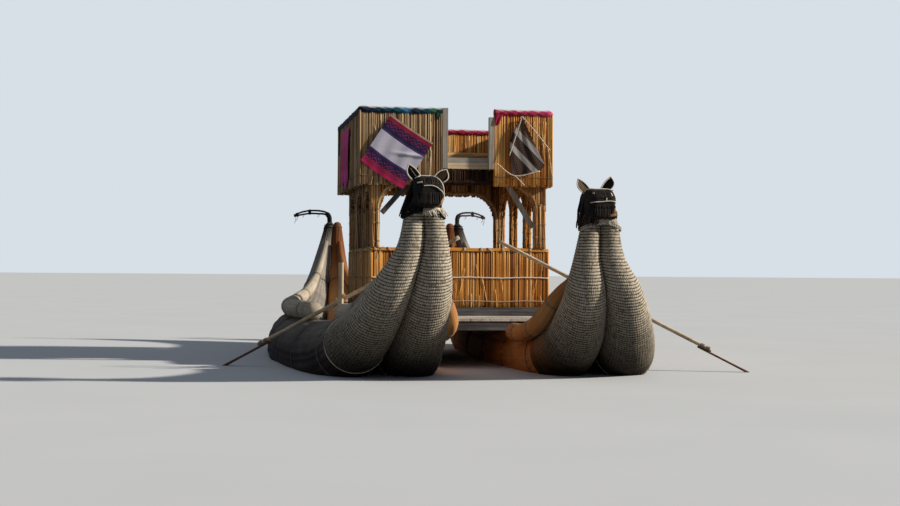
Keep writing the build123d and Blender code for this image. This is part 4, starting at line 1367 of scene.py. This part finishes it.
def starboard_cloth(u, v):
    """Pinned by one corner, so that it hangs askew with one fold across its lower part."""
    beige, wine, deep = (0.5, 0.36, 0.28), (0.3, 0.008, 0.04), (0.014, 0.01, 0.06)
    purple, lilac, magenta = (0.05, 0.02, 0.13), (0.6, 0.58, 0.7), (0.45, 0.008, 0.1)
    striped = band_cloth("cloth_striped", [
        (0.0, beige), (0.03, wine), (0.1, deep), (0.27, purple), (0.31, lilac), (0.68, purple),
        (0.72, deep), (0.86, wine), (0.94, magenta),
    ], (0.3, 0.02, 0.12), [(0.0, plain), (0.1, worked), (0.22, plain), (0.76, worked), (0.93, plain)], 15.0)
    wide, tall = 0.592, 0.64
    across, down = turned(starboard_turn)
    sag = 0.018 * np.sin(math.pi * u) * (0.4 + 0.6 * v)
    flat = starboard_pin + across * (u * wide)[..., None] + down * (v * tall + sag)[..., None]
    ridge = np.exp(-(((v - 0.72 + 0.42 * u) / 0.035) ** 2)) * np.clip((u - 0.35) * 3, 0, 1)
    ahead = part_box("cloth_stbd")[0].y - 0.004 - creased(u, v, 0.017) - 0.014 * ridge
    points = np.stack([flat[..., 0], ahead, flat[..., 1]], 2)
    cloth_sheet("cloth_stbd", points, u * wide / tall, v, striped)


def port_cloth(u, v):
    """Hung from one corner and folded to a point."""
    brown, tan_brown, pale = (0.028, 0.012, 0.008), (0.14, 0.07, 0.038), (0.36, 0.34, 0.33)
    edges = (0.0, 0.23, 0.34, 0.53, 0.64)
    diagonal = band_cloth("cloth_diagonal", stops(edges, tan_brown, pale, brown, pale, brown),
                          (0.12, 0.075, 0.05), stops(edges, worked, plain, worked, plain, worked), 22.0)
    left = [(0.776, 2.872), (0.69, 2.735), (0.645, 2.58), (0.642, 2.44), (0.655, 2.31), (0.678, 2.19)]
    right = [(0.79, 2.872), (0.87, 2.71), (0.945, 2.56), (1.02, 2.405), (1.06, 2.315), (0.988, 2.245)]
    left, right = smooth_path(left, cloth_count), smooth_path(right, cloth_count)
    flat = left[:, None] + (right - left)[:, None] * u[..., None]
    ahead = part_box("cloth_port")[0].y - 0.004 - creased(u, v, 0.02)
    points = np.stack([flat[..., 0], ahead, flat[..., 1]], 2)
    across, down = turned(stripe_turn)
    from_pin = (flat - port_pin) / stripe_span
    cloth_sheet("cloth_port", points, from_pin @ across, from_pin @ down, diagonal)


def side_cloth(u, v):
    """Hung over the starboard parapet, with an uneven lower edge."""
    low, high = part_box("cloth_side")
    wave = 0.5 + 0.5 * np.sin(19 * u + 1.2 * np.sin(3 * v))
    out = low.x - 0.003 - 0.024 * wave * (0.5 + 0.5 * v)
    hem = 1 - 0.12 * (0.5 + 0.5 * np.sin(9 * u + 0.5 + np.sin(23 * u)))
    points = np.stack([out, low.y + (high.y - low.y) * u, high.z - (high.z - low.z) * v * hem], 2)
    rose = band_cloth("cloth_magenta", [
        (0.0, (0.78, 0.03, 0.28)), (0.3, (0.62, 0.02, 0.2)), (0.75, (0.8, 0.04, 0.32)),
    ], (0.16, 0.02, 0.14), [(0.0, plain), (0.86, worked)], 20.0)
    cloth_sheet("cloth_side", points, u, v, rose)


def cloths():
    for hang in (starboard_cloth, port_cloth, side_cloth):
        hang(across_share, down_share)
    cords = Batch()
    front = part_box("cloth_port")[0].y - 0.032
    pin, toe, foot = (0.783, 2.885), (0.7, 2.187), (0.815, 2.075)
    for line in ([pin, (0.71, 2.66), (0.632, 2.42)], [pin, (0.95, 2.7), (1.125, 2.49)],
                 [(0.478, 2.33), toe, (1.0, 2.247)], [toe, (0.76, 2.13), foot]):
        path = np.array([(x, front, z) for x, z in smooth_path(line, 26)])
        twisted(cords, path, 0.0035, 0.0042, 0.03, tone=0.8)
    cords.build("cloth_cords", rope_pale, slot="rope")


# Oars: height of the pivot, sweep and dip in degrees, and the shaft's length inboard and outboard of it
oars = {"stbd": (0.74, 28, 27, 1.5, 1.1), "port": (0.86, -30, 26, 1.25, 1.45)}
pivot_x, pivot_y = 1.42, -2.1
shaft_radius = 0.0215
coil_cord, coil_radius, coil_length, coil_turns = 0.0035, 0.0255, 0.04, 6


def oar_pieces(side_name):
    """A peeled shaft, and cord wound round its scarf with the blade."""
    side = sides[side_name]
    height, sweep, dip, inboard, outboard = oars[side_name]
    sweep, dip = math.radians(sweep), math.radians(dip)
    level = math.cos(dip)
    along = np.array((side * math.cos(sweep) * level, math.sin(sweep) * level, -math.sin(dip)))
    pivot = np.array((side * pivot_x, pivot_y, height))
    shaft = Batch()
    path = [pivot + along * s for s in np.linspace(-inboard, outboard, 40)]
    shaft.tube(path, shaft_radius + 0.0006 * rng.normal(size=40), 14)
    body = f"oar_{side_name}"
    shaft.build(f"shaft_{side_name}", pole_across, body, [f"oar_shaft_{side_name}"], "pole_wood")
    scarf = Batch()
    up = unit(np.cross(along, (0, 0, 1.0)))
    over = np.cross(along, up)
    t = np.linspace(0, 1, 90)[:, None]
    turn = 2 * math.pi * coil_turns * t
    coil = along * coil_length * (t - 0.5) + coil_radius * (up * np.cos(turn) + over * np.sin(turn))
    for middle in (outboard - 0.11, outboard - 0.04):
        scarf.tube(pivot + along * middle + coil, coil_cord, 5, tone=0.6)
    scarf.build(f"scarf_{side_name}", rope_dark, body, slot="rope")


def stake_ties(side_name):
    """Rope round the stakes' feet and across between them under the oar's roll."""
    low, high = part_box(f"thole_stakes_{side_name}")
    middle = (low.x + high.x) / 2
    stakes = (low.y + 0.02, high.y - 0.02)
    ropes = Batch()
    for y in stakes:
        for k in range(9):
            centre = (middle, y, low.z + 0.09 + 0.0115 * k)
            ring = ellipse(centre, (0.024, 0, 0), (0, 0.024, 0.003), 22)
            ropes.tube(ring, 0.006, 6, closed=True, tone=0.5 + 0.05 * (k % 3))
    for k in range(3):
        level = low.z + 0.1 + 0.03 * k
        line = [(middle + 0.03 * math.cos(math.pi * t), stakes[0] + (stakes[1] - stakes[0]) * t, level)
                for t in np.linspace(0, 1, 20)]
        twisted(ropes, line, 0.005, 0.006, 0.04, tone=0.5)
    ropes.build(f"stake_ties_{side_name}", rope_pale, slot="rope")


# Carried-over CAD nodes with materials of their own
def paint():
    finishes = {
        "deck_planks": plank_white, "deck_beams": plank_shaded, "house_floor": plank_shaded,
        "gallery_floor": plank_across, "gallery_beams": pole_across, "gap_posts": plank_up,
        "knee_braces": plank_brace, "thole_stakes": pole_up, "rowlock_roll": pole_across,
        "oar_blade": blade_across,
    }
    for name, node in nodes.items():
        for start, material in finishes.items():
            if name.startswith(start):
                node.data.materials.clear()
                node.data.materials.append(material)


# Stage, light and camera
floor_reach = 500.0
floor_lit = (0.2, 0.21, 0.23)
sky_colour, sky_strength = (0.74, 0.82, 0.95, 1), 0.24
backdrop_colour = (0.68, 0.74, 0.8, 1)
sun_colour, sun_energy, sun_angle = (1.0, 0.93, 0.82), 5.0, math.radians(3)
sun_heading = (-0.9, 0.22, -0.42)
camera_place = (-2.99, -17.79, 1.05)
camera_yaw, camera_pitch, camera_roll = math.radians(10), math.radians(0.77), math.radians(0.4)
camera_lens, camera_sensor, camera_reach = 58.1, 36.0, 1500.0


def placed(name, data):
    piece = bpy.data.objects.new(name, data)
    bpy.context.scene.collection.objects.link(piece)
    return piece


def floor_piece():
    """A wide floor at the waterline, pale to the camera and dull to the light that it throws back."""
    mesh = bpy.data.meshes.new("floor")
    corners = [(x * floor_reach, y * floor_reach, 0) for x, y in ((-1, -1), (1, -1), (1, 1), (-1, 1))]
    mesh.from_pydata(corners, [], [(0, 1, 2, 3)])
    n = Nodes("floor_pale")
    where = n.where()
    seen = n.ramp(n.noise(where, 0.4, 2.0), [(0.3, (0.66, 0.68, 0.7)), (0.7, (0.69, 0.71, 0.73))])
    camera_ray = n.add("ShaderNodeLightPath").outputs["Is Camera Ray"]
    n.finish(n.mix(camera_ray, floor_lit, seen), n.noise(where, 30.0), 0.9, 0.02)
    mesh.materials.append(n.material)
    placed("floor", mesh)


def sky():
    """A blue light from all round, and a paler backdrop that only the camera sees."""
    world = bpy.data.worlds.new("studio")
    bpy.context.scene.world = world
    world.use_nodes = True
    tree = world.node_tree
    background = tree.nodes["Background"]
    background.inputs["Color"].default_value = sky_colour
    background.inputs["Strength"].default_value = sky_strength
    pale = tree.nodes.new("ShaderNodeBackground")
    pale.inputs["Color"].default_value = backdrop_colour
    pick = tree.nodes.new("ShaderNodeMixShader")
    path = tree.nodes.new("ShaderNodeLightPath")
    tree.links.new(path.outputs["Is Camera Ray"], pick.inputs["Fac"])
    tree.links.new(background.outputs["Background"], pick.inputs[1])
    tree.links.new(pale.outputs["Background"], pick.inputs[2])
    tree.links.new(pick.outputs["Shader"], tree.nodes["World Output"].inputs["Surface"])


def sun():
    lamp = bpy.data.lights.new("key", "SUN")
    lamp.energy = sun_energy
    lamp.angle = sun_angle
    lamp.color = sun_colour
    placed("key", lamp).rotation_euler = Vector(sun_heading).to_track_quat("-Z", "Y").to_euler()


def camera():
    flat = Vector((math.sin(camera_yaw), math.cos(camera_yaw), 0))
    ahead = flat * math.cos(camera_pitch) + Vector((0, 0, math.sin(camera_pitch)))
    level = Vector((math.cos(camera_yaw), -math.sin(camera_yaw), 0))
    over = level.cross(ahead)
    right = level * math.cos(camera_roll) + over * math.sin(camera_roll)
    up = over * math.cos(camera_roll) - level * math.sin(camera_roll)
    data = bpy.data.cameras.new("camera")
    data.lens = camera_lens
    data.sensor_width = camera_sensor
    data.clip_end = camera_reach
    eye = placed("camera", data)
    turn = Matrix((right, up, -ahead)).transposed()
    eye.matrix_world = Matrix.Translation(camera_place) @ turn.to_4x4()
    bpy.context.scene.camera = eye


camera()
floor_piece()
sky()
sun()
for side in sides:
    for side_way in (1, -1):
        bundle_piece(side, side_way)
    for roll_label in rolls:
        roll_piece(side, roll_label)
    lashings(side)
    head_piece(side)
    collar_piece(side)
    hook_piece(side)
    oar_pieces(side)
    stake_ties(side)
house()
gallery()
rims()
cloths()
paint()

bpy.context.scene.view_settings.view_transform = "Standard"
